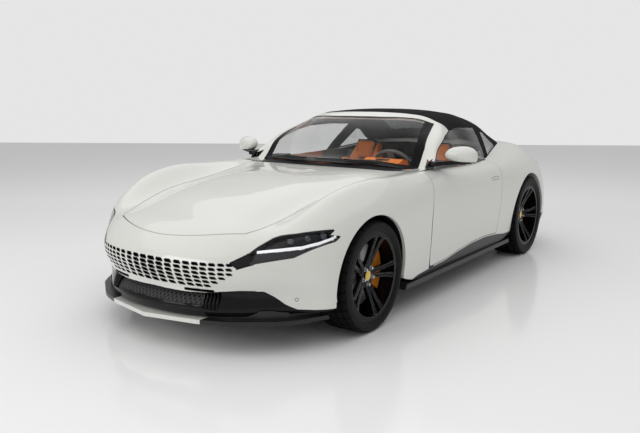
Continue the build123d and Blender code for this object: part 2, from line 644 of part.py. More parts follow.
def headlamp():
    """The left housing with its bowl, light bar, shelf and projectors, and the clear cover over them."""
    whole = (body() & headlamp_prism()) - body(HEADLAMP_DEPTH)
    bowl = (whole & lamp_window()) - body(LAMP_BOWL_DEPTH)
    housing = whole - bowl
    axis = Plane(origin=(0, 0, 0), z_dir=Vector(*HEADLAMP_FACING))
    barrels = [Pos(*at(*p)) * (axis * Cylinder(PROJECTOR_RADIUS, LAMP_REACH)) for p in PROJECTORS]
    for inside, depth in (
        ([facing_prism(LAMP_BAR, HEADLAMP_FACING, LAMP_REACH)], LAMP_BAR_DEPTH),
        ([facing_prism(LAMP_SHELF, HEADLAMP_FACING, LAMP_REACH)], LAMP_SHELF_DEPTH),
        (barrels, PROJECTOR_DEPTH),
    ):
        for prism in inside:
            housing = housing + ((prism & bowl) & body(depth))
    cover = (whole & lamp_window(-LAMP_COVER_GAP)) - body(LAMP_COVER)
    return biggest(housing), biggest(cover)


def hinge_sweep():
    """What the door's front face keeps clear of, so that it turns past the wing."""
    x, s = DOOR_HINGE
    outline = [(0, DOOR_FRONT_FACE[0][1])] + DOOR_FRONT_FACE + [(0, DOOR_FRONT_FACE[-1][1])]
    face = make_face(Polyline(*outline, close=True))
    return Pos(*at(x, s, 0)) * revolve(Plane.XZ * face, Axis.Z)


def door():
    panel = (body() & door_prism()) - hinge_sweep()
    panel += hinge_arms()
    return panel - skirt_region()


def door_glass():
    return (canopy() & window_prism()) - canopy(GLASS) - body()


def mirror_piece():
    """Door mirror: a rounded head with a flat glass, on an arm from the window's front corner."""
    slices = []
    for x, s, half, low, high in MIRROR_HEAD:
        plane = Plane(origin=at(x, s, (low + high) / 2), x_dir=(0, 1, 0), z_dir=(1, 0, 0))
        slices.append(plane * Ellipse(half, (high - low) / 2))
    head = loft(slices) - plan_slab(MIRROR_GLASS, 900, 1100)
    return head + plan_slab(MIRROR_ARM, *MIRROR_ARM_HEIGHT) - body() - canopy(-SEAT_GAP)


def boot_lid():
    return (body() & boot_lid_prism()) - body(PANEL)


def tonneau_panel():
    sides = [(DECK_HALF_WIDTH, DECK_FRONT), (DECK_HALF_WIDTH, DECK_REAR)]
    return (body() & plan_prism(sides, 700, 1200)) - body(PANEL)


def diffuser_region():
    edge = DIFFUSER_TOP
    outline = [(-x, z) for x, z in reversed(edge)] + edge[1:] + [(edge[-1][0], 100), (-edge[-1][0], 100)]
    return front_prism(outline, 3040, 4000)


def rear_bumper():
    """Rear bumper with the number plate's shallow recess."""
    piece = (body() & side_prism(REAR_BUMPER_OUTLINE, -1200, 1200)) - diffuser_region()
    half, low, high = PLATE_RECESS
    recess = box((-half, half), (3400, 3900), (low, high)) - body(PLATE_RECESS_DEPTH)
    return biggest(piece - arches(REAR_AXLE) - body(PANEL)) - recess


def rear_diffuser():
    piece = (body() & diffuser_region()) & side_prism(REAR_BUMPER_OUTLINE, -1200, 1200)
    return piece - arches(REAR_AXLE) - exhaust_holes() - body(PANEL)


def tail_lamps():
    lamps = []
    for x0, x1 in ((590, 700), (715, 850)):
        lamps += both((body(-TAIL_LAMP_PROUD) & box((x0, x1), (3300, 3800), (765, 795))) - body())
    return lamps


# ---- glass, windscreen frame and roof ---------------------------------------------------------
def screen_prism(grow=0.0):
    return facing_prism(SCREEN_OUTLINE, SCREEN_FACING, 300, grow)


def header_region():
    """Ahead of the line where the fabric roof meets the windscreen frame."""
    return plan_prism([(HEADER_REAR[-1][0], 600), (HEADER_REAR[-1][0] + 250, 600), (970, 1530)]
                      + [(x, s) for x, s in reversed(HEADER_REAR)], 700, 1500)


def windscreen():
    return (canopy() & screen_prism()) - canopy(GLASS) - body()


def windscreen_frame():
    piece = (canopy() & header_region()) - screen_prism(SEAT_GAP)
    above_door = door_prism(MOVING_GAP) & box((0, 1200), (0, 3000), (0, DOOR_SHOULDER))
    for tool in both(window_prism(MOVING_GAP)) + both(above_door):
        piece = piece - tool
    return biggest(piece - canopy(FRAME_DEPTH) - body())


def rear_glass_prism(grow=0.0):
    return facing_prism(REAR_GLASS_OUTLINE, REAR_GLASS_FACING, 200, grow)


def quarter_prism(grow=0.0):
    return side_prism(QUARTER_GLASS, 300, 1100, 0, grow)


def soft_top():
    piece = canopy() - header_region() - rear_glass_prism(SEAT_GAP)
    for tool in both(window_prism(MOVING_GAP)) + both(quarter_prism(SEAT_GAP)):
        piece = piece - tool
    return biggest(piece - canopy(ROOF_THICKNESS) - body())


def biggest(shape):
    """The main solid of a cut, without the slivers that the cut leaves elsewhere."""
    return max(shape.solids(), key=lambda s: s.volume)


# ---- dark lower trim --------------------------------------------------------------------------
def lower_intake():
    """Black panel under the bumper: a wide mouth in the middle with a row of fins at each end."""
    piece = (body(INTAKE_FRONT_DEPTH) & lower_region()) - arches(FRONT_AXLE) - body(INTAKE_BACK_DEPTH)
    mouth = front_prism(INTAKE_MOUTH, *INTAKE_CUT)
    low, high = INTAKE_MOUTH[0][1], INTAKE_MOUTH[-1][1]
    for k in range(INTAKE_FINS):
        foot = INTAKE_MOUTH[3][0] - k * INTAKE_FIN_PITCH
        fin = [
            (foot, low), (foot - INTAKE_FIN_THICKNESS, low), (foot - INTAKE_FIN_THICKNESS - INTAKE_FIN_LEAN, high),
            (foot - INTAKE_FIN_LEAN, high),
        ]
        mouth = mouth - both(front_prism(fin, *INTAKE_CUT))
    return biggest(piece) - (mouth - body(INTAKE_MOUTH_DEPTH))


def splitter_plan(edge, z0, z1):
    return plan_prism(edge + [(edge[-1][0], SPLITTER_REAR)], z0, z1)


def front_splitter():
    blade = splitter_plan(SPLITTER_EDGE, SPLITTER_BOTTOM, SPLITTER_TOP)
    riser = splitter_plan(RISER_EDGE, SPLITTER_TOP, RISER_TOP) - body()
    insert = box((-SPLITTER_INSERT_X, SPLITTER_INSERT_X), (-1000, -800), (SPLITTER_BOTTOM - 5, SPLITTER_TOP + 5))
    return blade - insert + riser - arches(FRONT_AXLE), blade & insert


def side_skirt():
    strip = (body() & skirt_region()) - arch(FRONT_AXLE, 1) - arch(REAR_AXLE, 1)
    blade = side_prism([(380, SKIRT_BOTTOM), (2270, SKIRT_BOTTOM), (2250, 205), (400, 205)], SKIRT_INNER_X, 948)
    return strip + blade


def undertray():
    front = box((-500, 500), (SPLITTER_REAR, 460), (150, 172))
    middle = box((-848, 848), (460, 2230), (150, 172))
    rear = box((-600, 600), (2230, 3200), (150, 172))
    fill = box((-780, 780), (470, 2220), (170, 300)) - body()
    return front + middle + rear + fill


# ---- wheels and what carries them -------------------------------------------------------------
def ring(profile):
    """A turned piece about the X axis from (x, radius) points."""
    face = make_face(Polyline(*profile, close=True))
    return revolve(Plane.XY * face, Axis.X)


def tyre(radius, width):
    half = width / 2
    rim = half - RIM_NARROWER / 2
    bead = rim - RIM_NARROWER / 2 - 2
    over_flange = RIM_SEAT_RADIUS + RIM_FLANGE_HEIGHT + RUNNING
    side = [
        (bead, RIM_SEAT_RADIUS), (bead, over_flange), (rim, over_flange), (half - 2, radius - 48),
        (half, radius - 34), (half - 4, radius - 14), (half - 16, radius - 4), (half - 40, radius),
    ]
    return ring([(-x, r) for x, r in side] + list(reversed(side)))


def rim(width, seat):
    """Barrel, hub and twin spokes that part towards the edge, each with a stepped edge."""
    half = width / 2 - RIM_NARROWER / 2 - 1
    inner = seat - RIM_WALL
    barrel = ring([
        (-half, seat + RIM_FLANGE_HEIGHT), (-half, inner), (half, inner), (half, seat + RIM_FLANGE_HEIGHT),
        (half - 8, seat + RIM_FLANGE_HEIGHT), (half - 10, seat - 0.3), (10 - half, seat - 0.3),
        (8 - half, seat + RIM_FLANGE_HEIGHT),
    ])
    shape = barrel + ring([(26, 0), (HUB_FACE - 8, 0), (HUB_FACE, 32), (HUB_FACE, HUB_RADIUS), (26, HUB_RADIUS + 4)])
    for outline, drop in ((SPOKE, SPOKE_STEP), (SPOKE_RIDGE, 0)):
        dish = ring([
            (30, 60), (HUB_FACE - drop, 60), (HUB_FACE - drop, HUB_RADIUS), (half - 16 - drop, inner - 30),
            (half - 4 - drop, inner + 2), (half - 4 - SPOKE_DEPTH, inner + 2), (half - 18 - SPOKE_DEPTH, inner - 34),
        ])
        spokes = []
        for n in range(SPOKE_PAIRS):
            for side in (1, -1):
                points = [polar(radius, side * angle) for radius, angle in outline]
                spokes.append(Rot(n * 360 / SPOKE_PAIRS, 0, 0) * extrude(Plane.YZ * make_face(Polyline(*points, close=True)), 300))
        shape = shape + (Compound(children=spokes) & dish)
    return shape


def polar(radius, angle):
    return (radius * cos(radians(angle)), radius * sin(radians(angle)))


def brake_disc(radius):
    outer = -DISC_INBOARD
    back = outer - DISC_THICKNESS
    plate = ring([(back, 60), (outer, 60), (outer, radius), (back, radius)])
    hat = ring([(back, 0), (25.7, 0), (25.7, 82), (outer - 5, 82), (back, 82)])
    return plate + hat


def caliper(disc_radius):
    """Sits over the rear edge of its disc."""
    outer = -DISC_INBOARD
    back = outer - DISC_THICKNESS
    body_ring = ring([(back - 22, 118), (outer + 20, 118), (outer + 20, disc_radius + 34), (back - 22, disc_radius + 34)])
    wedge = Polyline((0, 0), polar(400, -34), polar(480, 0), polar(400, 34), close=True)
    sector = extrude(Plane.YZ.offset(-200) * make_face(wedge), 400)
    slot = ring([(back - 3, 0), (outer + 3, 0), (outer + 3, disc_radius + 5), (back - 3, disc_radius + 5)])
    return (body_ring & sector) - slot


POST_END = 18.0              # hub carrier's post beyond its ball joints


def suspension(station, track, inner_x, structure):
    """A crossmember, its hangers, and two pairs of arms with upright pins for the hub carriers."""
    pin_x = KINGPIN_X + (track - FRONT_TRACK) / 2
    low = LOWER_ARM_HEIGHT - POST_END - RUNNING
    high = UPPER_ARM_HEIGHT + POST_END + RUNNING
    shape = box((15 - inner_x, inner_x - 15), (station - 45, station + 45), (low - 22, low + 35))
    for side in (-1, 1):
        shape += box(sorted((side * (inner_x - 31), side * (inner_x - 4))), (station - 40, station + 40), (low, 520))
        shape += box(sorted((side * (inner_x - 30), side * (pin_x + 17))), (station - 15, station + 15), (low - 22, low))
        shape += box(sorted((side * (inner_x - 4), side * (pin_x + 17))), (station - 15, station + 15), (high, high + 22))
        shape += Pos(*at(side * pin_x, station, low + 20)) * Cylinder(KINGPIN_RADIUS, 40)
        shape += Pos(*at(side * pin_x, station, high - 20)) * Cylinder(KINGPIN_RADIUS, 40)
    return biggest(shape - structure)


def upright(tyre_radius):
    """Hub carrier, in wheel coordinates with x = 0 at the wheel's middle plane."""
    back = -DISC_INBOARD - DISC_THICKNESS - RUNNING
    pin_x = KINGPIN_X - FRONT_TRACK / 2
    low, high = LOWER_ARM_HEIGHT - tyre_radius, UPPER_ARM_HEIGHT - tyre_radius
    shape = Pos(pin_x, 0, (low + high) / 2) * Box(34, 40, high - low + 2 * POST_END)
    shape += Pos((pin_x + back) / 2, 0, 0) * Rot(0, 90, 0) * Cylinder(58, back - pin_x)
    bracket_end = back - 22.0
    shape += Pos((pin_x + bracket_end) / 2, 85, 0) * Box(bracket_end - pin_x, 150, 70)
    for z in (low, high):
        shape -= Pos(pin_x, 0, z) * Cylinder(KINGPIN_RADIUS + RUNNING, 60)
    return shape


def place_wheel(shape, side, axle, track, radius):
    """Move a piece from wheel coordinates to its corner of the car."""
    shape = shape if side > 0 else mirror(shape, Plane.YZ)
    return Pos(*at(side * track / 2, axle, radius)) * shape


# ---- engine and cabin -------------------------------------------------------------------------
def engine():
    """The engine as one plain block on its two mounts."""
    block = box((-250, 250), (70, 640), (275, 740))
    return block + box((-BAY_HALF_WIDTH, BAY_HALF_WIDTH), (300, 350), (480, 520))


def dashboard():
    profile = [(CABIN_FRONT, 560), (CABIN_FRONT, 868), (940, 880), (1040, 888), (1120, 850), (1125, 780), (1060, 640),
               (1010, 560)]
    shape = side_prism(profile, -DASH_HALF_WIDTH, DASH_HALF_WIDTH)
    hood = side_prism([(960, 800), (960, 905), (1080, 945), (1150, 935), (1150, 850), (1080, 800)], 215, 535)
    x, s, z = STEERING_WHEEL
    socket = Pos(*at(x, s, z)) * Rot(COLUMN_TILT, 0, 0) * Rot(90, 0, 0) * Pos(0, 0, 150) * Cylinder(22.3, 300)
    return shape + hood - socket


def steering_wheel():
    """Rim, three spokes, boss and the column that turns in the dashboard."""
    rim_ring = Torus(STEERING_WHEEL_RADIUS, STEERING_RIM_RADIUS)
    boss = Pos(0, 0, -8) * Cylinder(58, 44)
    spokes = Pos(0, 0, -8) * (Box(2 * STEERING_WHEEL_RADIUS - 8, 44, 14) + Pos(0, -90, 0) * Box(50, 176, 14))
    column = Pos(0, 0, -85) * Cylinder(22, 130)
    shape = rim_ring + boss + spokes + column
    return Pos(*at(*STEERING_WHEEL)) * Rot(COLUMN_TILT, 0, 0) * Rot(-90, 0, 0) * shape


def seat(x):
    cushion = fillet(Box(500, 520, 150).edges(), 35)
    back = fillet(Box(500, 130, 620).edges(), 40)
    head = fillet(Box(270, 90, 190).edges(), 35)
    shape = Pos(*at(x, 1640, 340)) * Rot(7, 0, 0) * cushion
    shape += Pos(*at(x, 1955, 620)) * Rot(-22, 0, 0) * back
    shape += Pos(*at(x, 2085, 925)) * Rot(-16, 0, 0) * head
    shape += box((x - 200, x + 200), (1440, 1840), (FLOOR_TOP, 330))
    return shape


def rear_bench():
    cushion = box((-590, 590), (2150, 2410), (REAR_FLOOR_TOP, 470))
    back = side_prism([(2310, 460), (2350, 860), (2415, 860), (2415, 460)], -590, 590)
    return cushion + back


def console():
    profile = [(1030, FLOOR_TOP), (1030, 640), (1140, 600), (1500, 470), (2140, 470), (2140, FLOOR_TOP)]
    return side_prism(profile, -105, 105) - dashboard() - body_floor()


def body_floor():
    """The step up to the rear floor."""
    return box((-800, 800), (REAR_CABIN_FRONT, 3000), (0, REAR_FLOOR_TOP))


def radiator():
    return box((-520, 520), (-690, -640), (242, 535))


def exhaust_places():
    return [Pos(*at(side * x, EXHAUST_STATION, EXHAUST_HEIGHT)) * Rot(90, 0, 0) for x in EXHAUST_X for side in (-1, 1)]


def exhaust_holes():
    return [place * Cylinder(EXHAUST_RADIUS, EXHAUST_LENGTH + 100) for place in exhaust_places()]


def exhausts():
    tube = Cylinder(EXHAUST_RADIUS, EXHAUST_LENGTH) - Cylinder(EXHAUST_RADIUS - 6, EXHAUST_LENGTH + 2)
    return [place * tube for place in exhaust_places()]


# ---- the whole car ----------------------------------------------------------------------------
def main():
    os.makedirs("parts", exist_ok=True)
    structure = biggest(body_structure())
    for name, section in structure_sections(structure):
        save(name, section, PAINT)
    save("bonnet", biggest(bonnet()), PAINT)
    save("front_bumper", biggest(front_bumper()), PAINT)
    left_wing = biggest(wing())
    left_door = biggest(door())
    left_glass = biggest(door_glass())
    left_lamp = Compound(children=headlamp())
    left_mirror = biggest(mirror_piece())
    for name, piece, colour in (
        ("wing", left_wing, PAINT), ("door", left_door, PAINT), ("door_glass", left_glass, CLEAR),
        ("headlamp", left_lamp, BLACK), ("mirror", left_mirror, PAINT), ("skirt", side_skirt(), BLACK),
    ):
        save(name + "_left", piece, colour)
        save(name + "_right", other_side(piece), colour)
    save("boot_lid", biggest(boot_lid()), PAINT)
    save("tonneau_panel", biggest(tonneau_panel()), PAINT)
    save("rear_bumper", biggest(rear_bumper()), PAINT)
    save("rear_diffuser", biggest(rear_diffuser()), BLACK)
    save("tail_lamps", Compound(children=tail_lamps()), RED)
    save("windscreen", windscreen(), CLEAR)
    save("windscreen_frame", windscreen_frame(), PAINT)
    save("soft_top", soft_top(), CLOTH)
    rear_pane = biggest((canopy() & rear_glass_prism()) - canopy(GLASS))
    left_quarter = biggest((canopy() & quarter_prism()) - canopy(GLASS))
    save("rear_glasses", Compound(children=[rear_pane] + both(left_quarter)), CLEAR)
    save("lower_intake", lower_intake(), BLACK)
    splitter, insert = front_splitter()
    save("front_splitter", splitter, BLACK)
    save("splitter_insert", insert, PAINT)
    save("undertray", undertray(), BLACK)
    save("radiator", radiator(), BLACK)
    save("engine", engine(), STEEL)
    save("dashboard", dashboard(), TAN)
    save("steering_wheel", steering_wheel(), BLACK)
    save("seat_left", seat(SEAT_X), TAN)
    save("seat_right", seat(-SEAT_X), TAN)
    save("rear_bench", rear_bench(), TAN)
    save("console", console(), TAN)
    save("exhausts", Compound(children=exhausts()), STEEL)
    front_arms = suspension(0, FRONT_TRACK, WELL_INNER_X, structure)
    rear_arms = suspension(WHEELBASE, REAR_TRACK, REAR_WELL_INNER_X, structure)
    save("suspension", Compound(children=[front_arms, rear_arms]), STEEL)
    corners = (
        ("front", 0, FRONT_TRACK, FRONT_TYRE_RADIUS, FRONT_TYRE_WIDTH, FRONT_DISC_RADIUS),
        ("rear", WHEELBASE, REAR_TRACK, REAR_TYRE_RADIUS, REAR_TYRE_WIDTH, REAR_DISC_RADIUS),
    )
    for end, axle, track, radius, width, disc in corners:
        pieces = (
            ("tyre", tyre(radius, width), BLACK), ("rim", rim(width, RIM_SEAT_RADIUS), BLACK),
            ("brake_disc", brake_disc(disc), STEEL), ("hub_carrier", upright(radius), STEEL),
            ("caliper", caliper(disc), YELLOW),
        )
        for name, shape, colour in pieces:
            for side, word in ((1, "left"), (-1, "right")):
                save(f"{name}_{end}_{word}", place_wheel(shape, side, axle, track, radius), colour)


if __name__ == "__main__":
    main()
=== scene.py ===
import json
from math import cos, pi, radians, sin

import bmesh
import bpy
from mathutils import Matrix, Vector
from mathutils.bvhtree import BVHTree


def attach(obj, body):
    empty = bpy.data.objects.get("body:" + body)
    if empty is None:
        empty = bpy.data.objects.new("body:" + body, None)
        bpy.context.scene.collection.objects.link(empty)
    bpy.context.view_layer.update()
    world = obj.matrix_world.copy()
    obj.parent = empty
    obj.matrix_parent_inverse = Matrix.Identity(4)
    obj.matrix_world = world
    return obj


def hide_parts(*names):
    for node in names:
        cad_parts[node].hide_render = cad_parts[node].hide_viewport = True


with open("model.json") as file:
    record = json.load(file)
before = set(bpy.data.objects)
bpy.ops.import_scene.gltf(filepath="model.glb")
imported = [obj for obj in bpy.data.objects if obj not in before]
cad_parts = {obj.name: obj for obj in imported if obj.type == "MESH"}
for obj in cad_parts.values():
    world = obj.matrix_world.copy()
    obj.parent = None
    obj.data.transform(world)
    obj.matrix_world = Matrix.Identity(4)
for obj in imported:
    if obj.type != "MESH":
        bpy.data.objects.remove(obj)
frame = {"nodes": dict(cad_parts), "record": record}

scene = bpy.context.scene
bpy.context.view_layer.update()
nodes = frame["nodes"]
bodies = {node: body for body, members in frame["record"]["behaviour"]["bodies"].items()
          for node in members}
FRONT_AXLE_Y, REAR_AXLE_Y = -1.363, 1.307
SIDES = (("left", 1), ("right", -1))


# Painted panels: pressed steel and aluminium skins, bolted on with even gaps. The finish is a warm
# pearl white: a base coat with fine flake under a clear lacquer with a sprayer's faint orange peel.
def inside_of(made):
    return made.node_tree, made.node_tree.nodes["Principled BSDF"]


def material(name, colour, roughness, metallic=0.0, specular=0.5, **sockets):
    made = bpy.data.materials.new(name)
    made.use_nodes = True
    sockets.update(Base_Color=(*colour, 1), Roughness=roughness, Metallic=metallic,
                   Specular_IOR_Level=specular)
    for socket, value in sockets.items():
        inside_of(made)[1].inputs[socket.replace("_", " ")].default_value = value
    return made


def add(tree, kind, **values):
    """A new shader node with its settings and the values of its unlinked inputs."""
    new = tree.nodes.new("ShaderNode" + kind)
    for name, value in values.items():
        if name in new.inputs:
            new.inputs[name].default_value = value
        else:
            setattr(new, name, value)
    return new


def wire(tree, *links):
    """Makes each link, given as (node, output, node, input)."""
    for source, output, target, entry in links:
        tree.links.new(source.outputs[output], target.inputs[entry])


def in_place(tree, kind, **values):
    """A new node that reads the object's own coordinates."""
    new = add(tree, kind, **values)
    wire(tree, (add(tree, "TexCoord"), "Object", new, "Vector"))
    return new


def raised(tree, source, output, strength, distance):
    """Gives a material's shader a relief that follows a node's output."""
    bump = add(tree, "Bump", Strength=strength, Distance=distance)
    wire(tree, (source, output, bump, "Height"), (bump, "Normal", tree.nodes["Principled BSDF"], "Normal"))


def ramp(tree, first=0, last=1, low=0.0, high=1.0):
    """A ramp from one colour or grey to another, between two positions."""
    new = add(tree, "ValToRGB")
    for stop, position, colour in zip(new.color_ramp.elements, (low, high), (first, last)):
        stop.position = position
        stop.color = (*colour, 1) if hasattr(colour, "__len__") else (colour, colour, colour, 1)
    return new


# Grain: noise at a given scale per metre as a mask, and the same noise as a relief.
grain = bpy.data.node_groups.new("grain", "ShaderNodeTree")
for label, value in (("Scale", 500.0), ("Strength", 0.3), ("Depth", 0.0005), ("Detail", 2.0)):
    entry = grain.interface.new_socket(name=label, in_out="INPUT", socket_type="NodeSocketFloat")
    entry.default_value = value
for label, kind in (("Mask", "NodeSocketFloat"), ("Normal", "NodeSocketVector")):
    grain.interface.new_socket(name=label, in_out="OUTPUT", socket_type=kind)
ins, outs = grain.nodes.new("NodeGroupInput"), grain.nodes.new("NodeGroupOutput")
noise = in_place(grain, "TexNoise")
bump = add(grain, "Bump")
wire(grain, (ins, "Scale", noise, "Scale"), (ins, "Detail", noise, "Detail"), (noise, "Fac", bump, "Height"),
     (ins, "Strength", bump, "Strength"), (ins, "Depth", bump, "Distance"),
     (noise, "Fac", outs, "Mask"), (bump, "Normal", outs, "Normal"))


def grained(made, scale, strength, depth, colours=None, low=0.35, high=0.65, detail=2.0, rough=None):
    """Gives a material the grain's relief, and colours or roughness that follow its mask."""
    tree, shader = inside_of(made)
    group = add(tree, "Group")
    group.node_tree = grain
    for socket, value in zip(group.inputs, (scale, strength, depth, detail)):
        socket.default_value = value
    wire(tree, (group, "Normal", shader, "Normal"))
    for pair, socket in ((colours, "Base Color"), (rough, "Roughness")):
        if pair:
            mask = ramp(tree, *pair, low, high)
            wire(tree, (group, "Mask", mask, "Fac"), (mask, "Color", shader, socket))
    return made


def finish(names, made):
    """Gives every slot of these CAD nodes one material."""
    for name in names.split():
        for slot in nodes[name].material_slots:
            slot.material = made


pearl_paint = grained(
    material("pearl_paint", (0.71, 0.71, 0.67), 0.3, Coat_Weight=0.75, Coat_Roughness=0.02),
    1400, 0.04, 0.0002, ((0.685, 0.685, 0.645), (0.735, 0.735, 0.695)), 0.3, 0.7)
finish("bonnet boot_lid tonneau_panel rear_bumper windscreen_frame wing_left wing_right splitter_insert",
       pearl_paint)


# Doors: painted skins over pressed inner panels, hung on hinges at their front edges. The inner face is
# trimmed in tan leather, and the shut faces below the window are black, as painted shade in the door's gaps.
def linked(new):
    scene.collection.objects.link(new)
    return new


def as_object(name, mesh):
    """A new object in the scene with a bmesh's mesh. The bmesh is freed."""
    data = bpy.data.meshes.new(name)
    mesh.to_mesh(data)
    mesh.free()
    return linked(bpy.data.objects.new(name, data))


def dressed(node, materials, choose):
    """A copy of a CAD node whose faces take the material that choose(centre, normal) numbers."""
    piece = linked(nodes[node].copy())
    piece.data = nodes[node].data.copy()
    piece.name = piece.data.name = node + "_dressed"
    piece.data.materials.clear()
    for made in materials:
        piece.data.materials.append(made)
    for face in piece.data.polygons:
        face.material_index = choose(face.center, face.normal)
    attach(piece, bodies[node])
    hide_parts(node)


tan_leather = grained(material("tan_leather", (0.72, 0.19, 0.025), 0.45, specular=0.3),
                      1100, 0.35, 0.0006, ((0.66, 0.165, 0.02), (0.78, 0.215, 0.03)), rough=(0.4, 0.52))
black_plastic = grained(
    material("moulded_black_plastic", (0.009, 0.009, 0.01), 0.4, specular=0.25),
    1800, 0.15, 0.0002, ((0.007, 0.007, 0.008), (0.012, 0.012, 0.013)), rough=(0.34, 0.46))
DOOR_CARD_X, DOOR_EDGE_X, DOOR_EDGE_TOP = 0.824, 0.86, 0.84


def door_finish(way):
    def choose(centre, normal):
        if centre.x * way < DOOR_CARD_X and normal.x * way < -0.5:
            return 1
        # Painted shade: the door's edge faces below the window are black, so that the gaps round the door
        # read dark.
        shut_face = centre.x * way < DOOR_EDGE_X and abs(normal.x) < 0.6 and centre.z < DOOR_EDGE_TOP
        return 2 if shut_face else 0
    return choose


for side, way in SIDES:
    dressed("door_" + side, (pearl_paint, tan_leather, black_plastic), door_finish(way))


# Welded structure: the floor, firewall and rear shell, spot-welded from pressed steel. It is painted
# outside, carpeted in the cabin and the boot, and sprayed black in the wheel wells and underneath.
carpet = grained(material("dark_carpet", (0.02, 0.019, 0.018), 0.95, Sheen_Weight=0.3),
                 700, 0.8, 0.002, ((0.012, 0.011, 0.011), (0.03, 0.028, 0.026)), detail=5.0)
FRONT_WELL = (FRONT_AXLE_Y - 0.014, 0.336, 0.414)
REAR_WELL = (REAR_AXLE_Y + 0.006, 0.352, 0.402)
WELL_SIDE = 0.893
CABIN_FLOOR, CABIN_SIDE, CABIN_STEP_Y = 0.2, 0.812, 0.63
REAR_CABIN_SIDE, REAR_CABIN_END = 0.645, 1.062
BOOT_START, BOOT_END, BOOT_SIDE, BOOT_TOP = 1.19, 2.20, 0.545, 0.945
UNDERSIDE_TOP = 0.24


def in_well(centre):
    """Inside a wheel well, whose (y, z, radius) are those of the CAD arches."""
    return abs(centre.x) < WELL_SIDE and any((centre.y - y) ** 2 + (centre.z - z) ** 2 < radius ** 2
                                             for y, z, radius in (FRONT_WELL, REAR_WELL))


def structure_finish(centre, normal):
    if in_well(centre):
        return 2
    reach = CABIN_SIDE if centre.y < CABIN_STEP_Y else REAR_CABIN_SIDE
    if abs(centre.x) < reach and centre.y < REAR_CABIN_END and centre.z > CABIN_FLOOR:
        return 1
    in_boot = abs(centre.x) < BOOT_SIDE and BOOT_START < centre.y < BOOT_END and centre.z < BOOT_TOP
    if in_boot and normal.z > -0.9:
        return 1
    return 2 if centre.z < UNDERSIDE_TOP else 0


for node in ("floor_structure", "rear_structure"):
    dressed(node, (pearl_paint, carpet, black_plastic), structure_finish)
finish("front_structure undertray radiator", black_plastic)

# Lower trim: splitter, skirts and diffuser in satin carbon-black composite, and the intake panel in
# gloss black, whose sunken mouth holds a fine woven wire mesh.
satin_black = grained(
    material("satin_black_trim", (0.012, 0.012, 0.013), 0.32, specular=0.4),
    900, 0.1, 0.0002, ((0.01, 0.01, 0.011), (0.017, 0.017, 0.018)), rough=(0.26, 0.38))
finish("front_splitter skirt_left skirt_right rear_diffuser", satin_black)
gloss_black = grained(material("gloss_black", (0.004, 0.004, 0.005), 0.14, specular=0.2),
                      1500, 0.03, 0.0001, ((0.004, 0.004, 0.005), (0.008, 0.008, 0.009)))
wire_mesh = material("woven_wire_mesh", (0.01, 0.01, 0.011), 0.4, specular=0.3)
tree, shader = inside_of(wire_mesh)
# Painted shade: the gaps between the wires are coloured near black, and the wires a lighter grey.
tone = ramp(tree, 0.002, (0.05, 0.05, 0.053), 0.70, 0.96)
most = add(tree, "Math", operation="MAXIMUM")
for slot, angle in enumerate((45, -45)):
    turn = in_place(tree, "Mapping", Rotation=(0, radians(angle), 0))
    wires = add(tree, "TexWave", Scale=15.0)
    wire(tree, (turn, "Vector", wires, "Vector"), (wires, "Fac", most, slot))
wire(tree, (most, 0, tone, "Fac"), (tone, "Color", shader, "Base Color"))
raised(tree, most, 0, 0.6, 0.002)
MOUTH_HALF, MOUTH_FOOT = 0.36, 0.275
dressed("lower_intake", (gloss_black, wire_mesh),
        lambda c, n: 1 if abs(c.x) < MOUTH_HALF and c.z > MOUTH_FOOT and n.y < -0.2 else 0)

# Front bumper: one painted moulding with the grille's slots pierced through its nose. The slots' walls
# and the face behind them are gloss black: partly the black frame behind the slots, partly painted shade
# inside them.
GRILLE_HALF, GRILLE_FOOT, GRILLE_TOP, GRILLE_BACK = 0.62, 0.325, 0.57, FRONT_AXLE_Y - 0.55


def in_grille(point):
    return abs(point.x) < GRILLE_HALF and GRILLE_FOOT < point.z < GRILLE_TOP and point.y < GRILLE_BACK


# Painted shade: the grille's slot walls and rear faces are gloss black, so that the slots read dark.
dressed("front_bumper", (pearl_paint, gloss_black), lambda c, n: 1 if in_grille(c) and n.y > -0.3 else 0)


# Tyres: moulded black rubber on the rims, with four grooves round the tread, sipes across it, and
# raised rings on the sidewall. Each is one profile turned about the wheel's axis.
def settle(name, mesh, made, node, stands=False, angle=35, recalc=True):
    """Makes a bmesh a finished piece on a CAD node's body, which may stand for the node."""
    bmesh.ops.remove_doubles(mesh, verts=mesh.verts, dist=1e-6)
    if recalc:
        bmesh.ops.recalc_face_normals(mesh, faces=mesh.faces)
    for face in mesh.faces:
        face.smooth = True
    for edge in mesh.edges:
        edge.smooth = len(edge.link_faces) == 2 and edge.calc_face_angle(0) < radians(angle)
    piece = as_object(name, mesh)
    for one in made if isinstance(made, tuple) else (made,):
        piece.data.materials.append(one)
    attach(piece, bodies[node])
    if stands:
        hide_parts(node)
    return piece


def moved(mesh, matrix, verts=None):
    bmesh.ops.transform(mesh, matrix=matrix, verts=verts or mesh.verts)
    return mesh


def turned(profile, steps=96):
    """A profile of (x, radius) points spun about the X axis."""
    mesh = bmesh.new()
    verts = [mesh.verts.new((x, 0, r)) for x, r in profile]
    edges = [mesh.edges.new(pair) for pair in zip(verts, verts[1:])]
    bmesh.ops.spin(mesh, geom=verts + edges, cent=(0, 0, 0), axis=(1, 0, 0), angle=2 * pi, steps=steps,
                   use_merge=True)
    return mesh


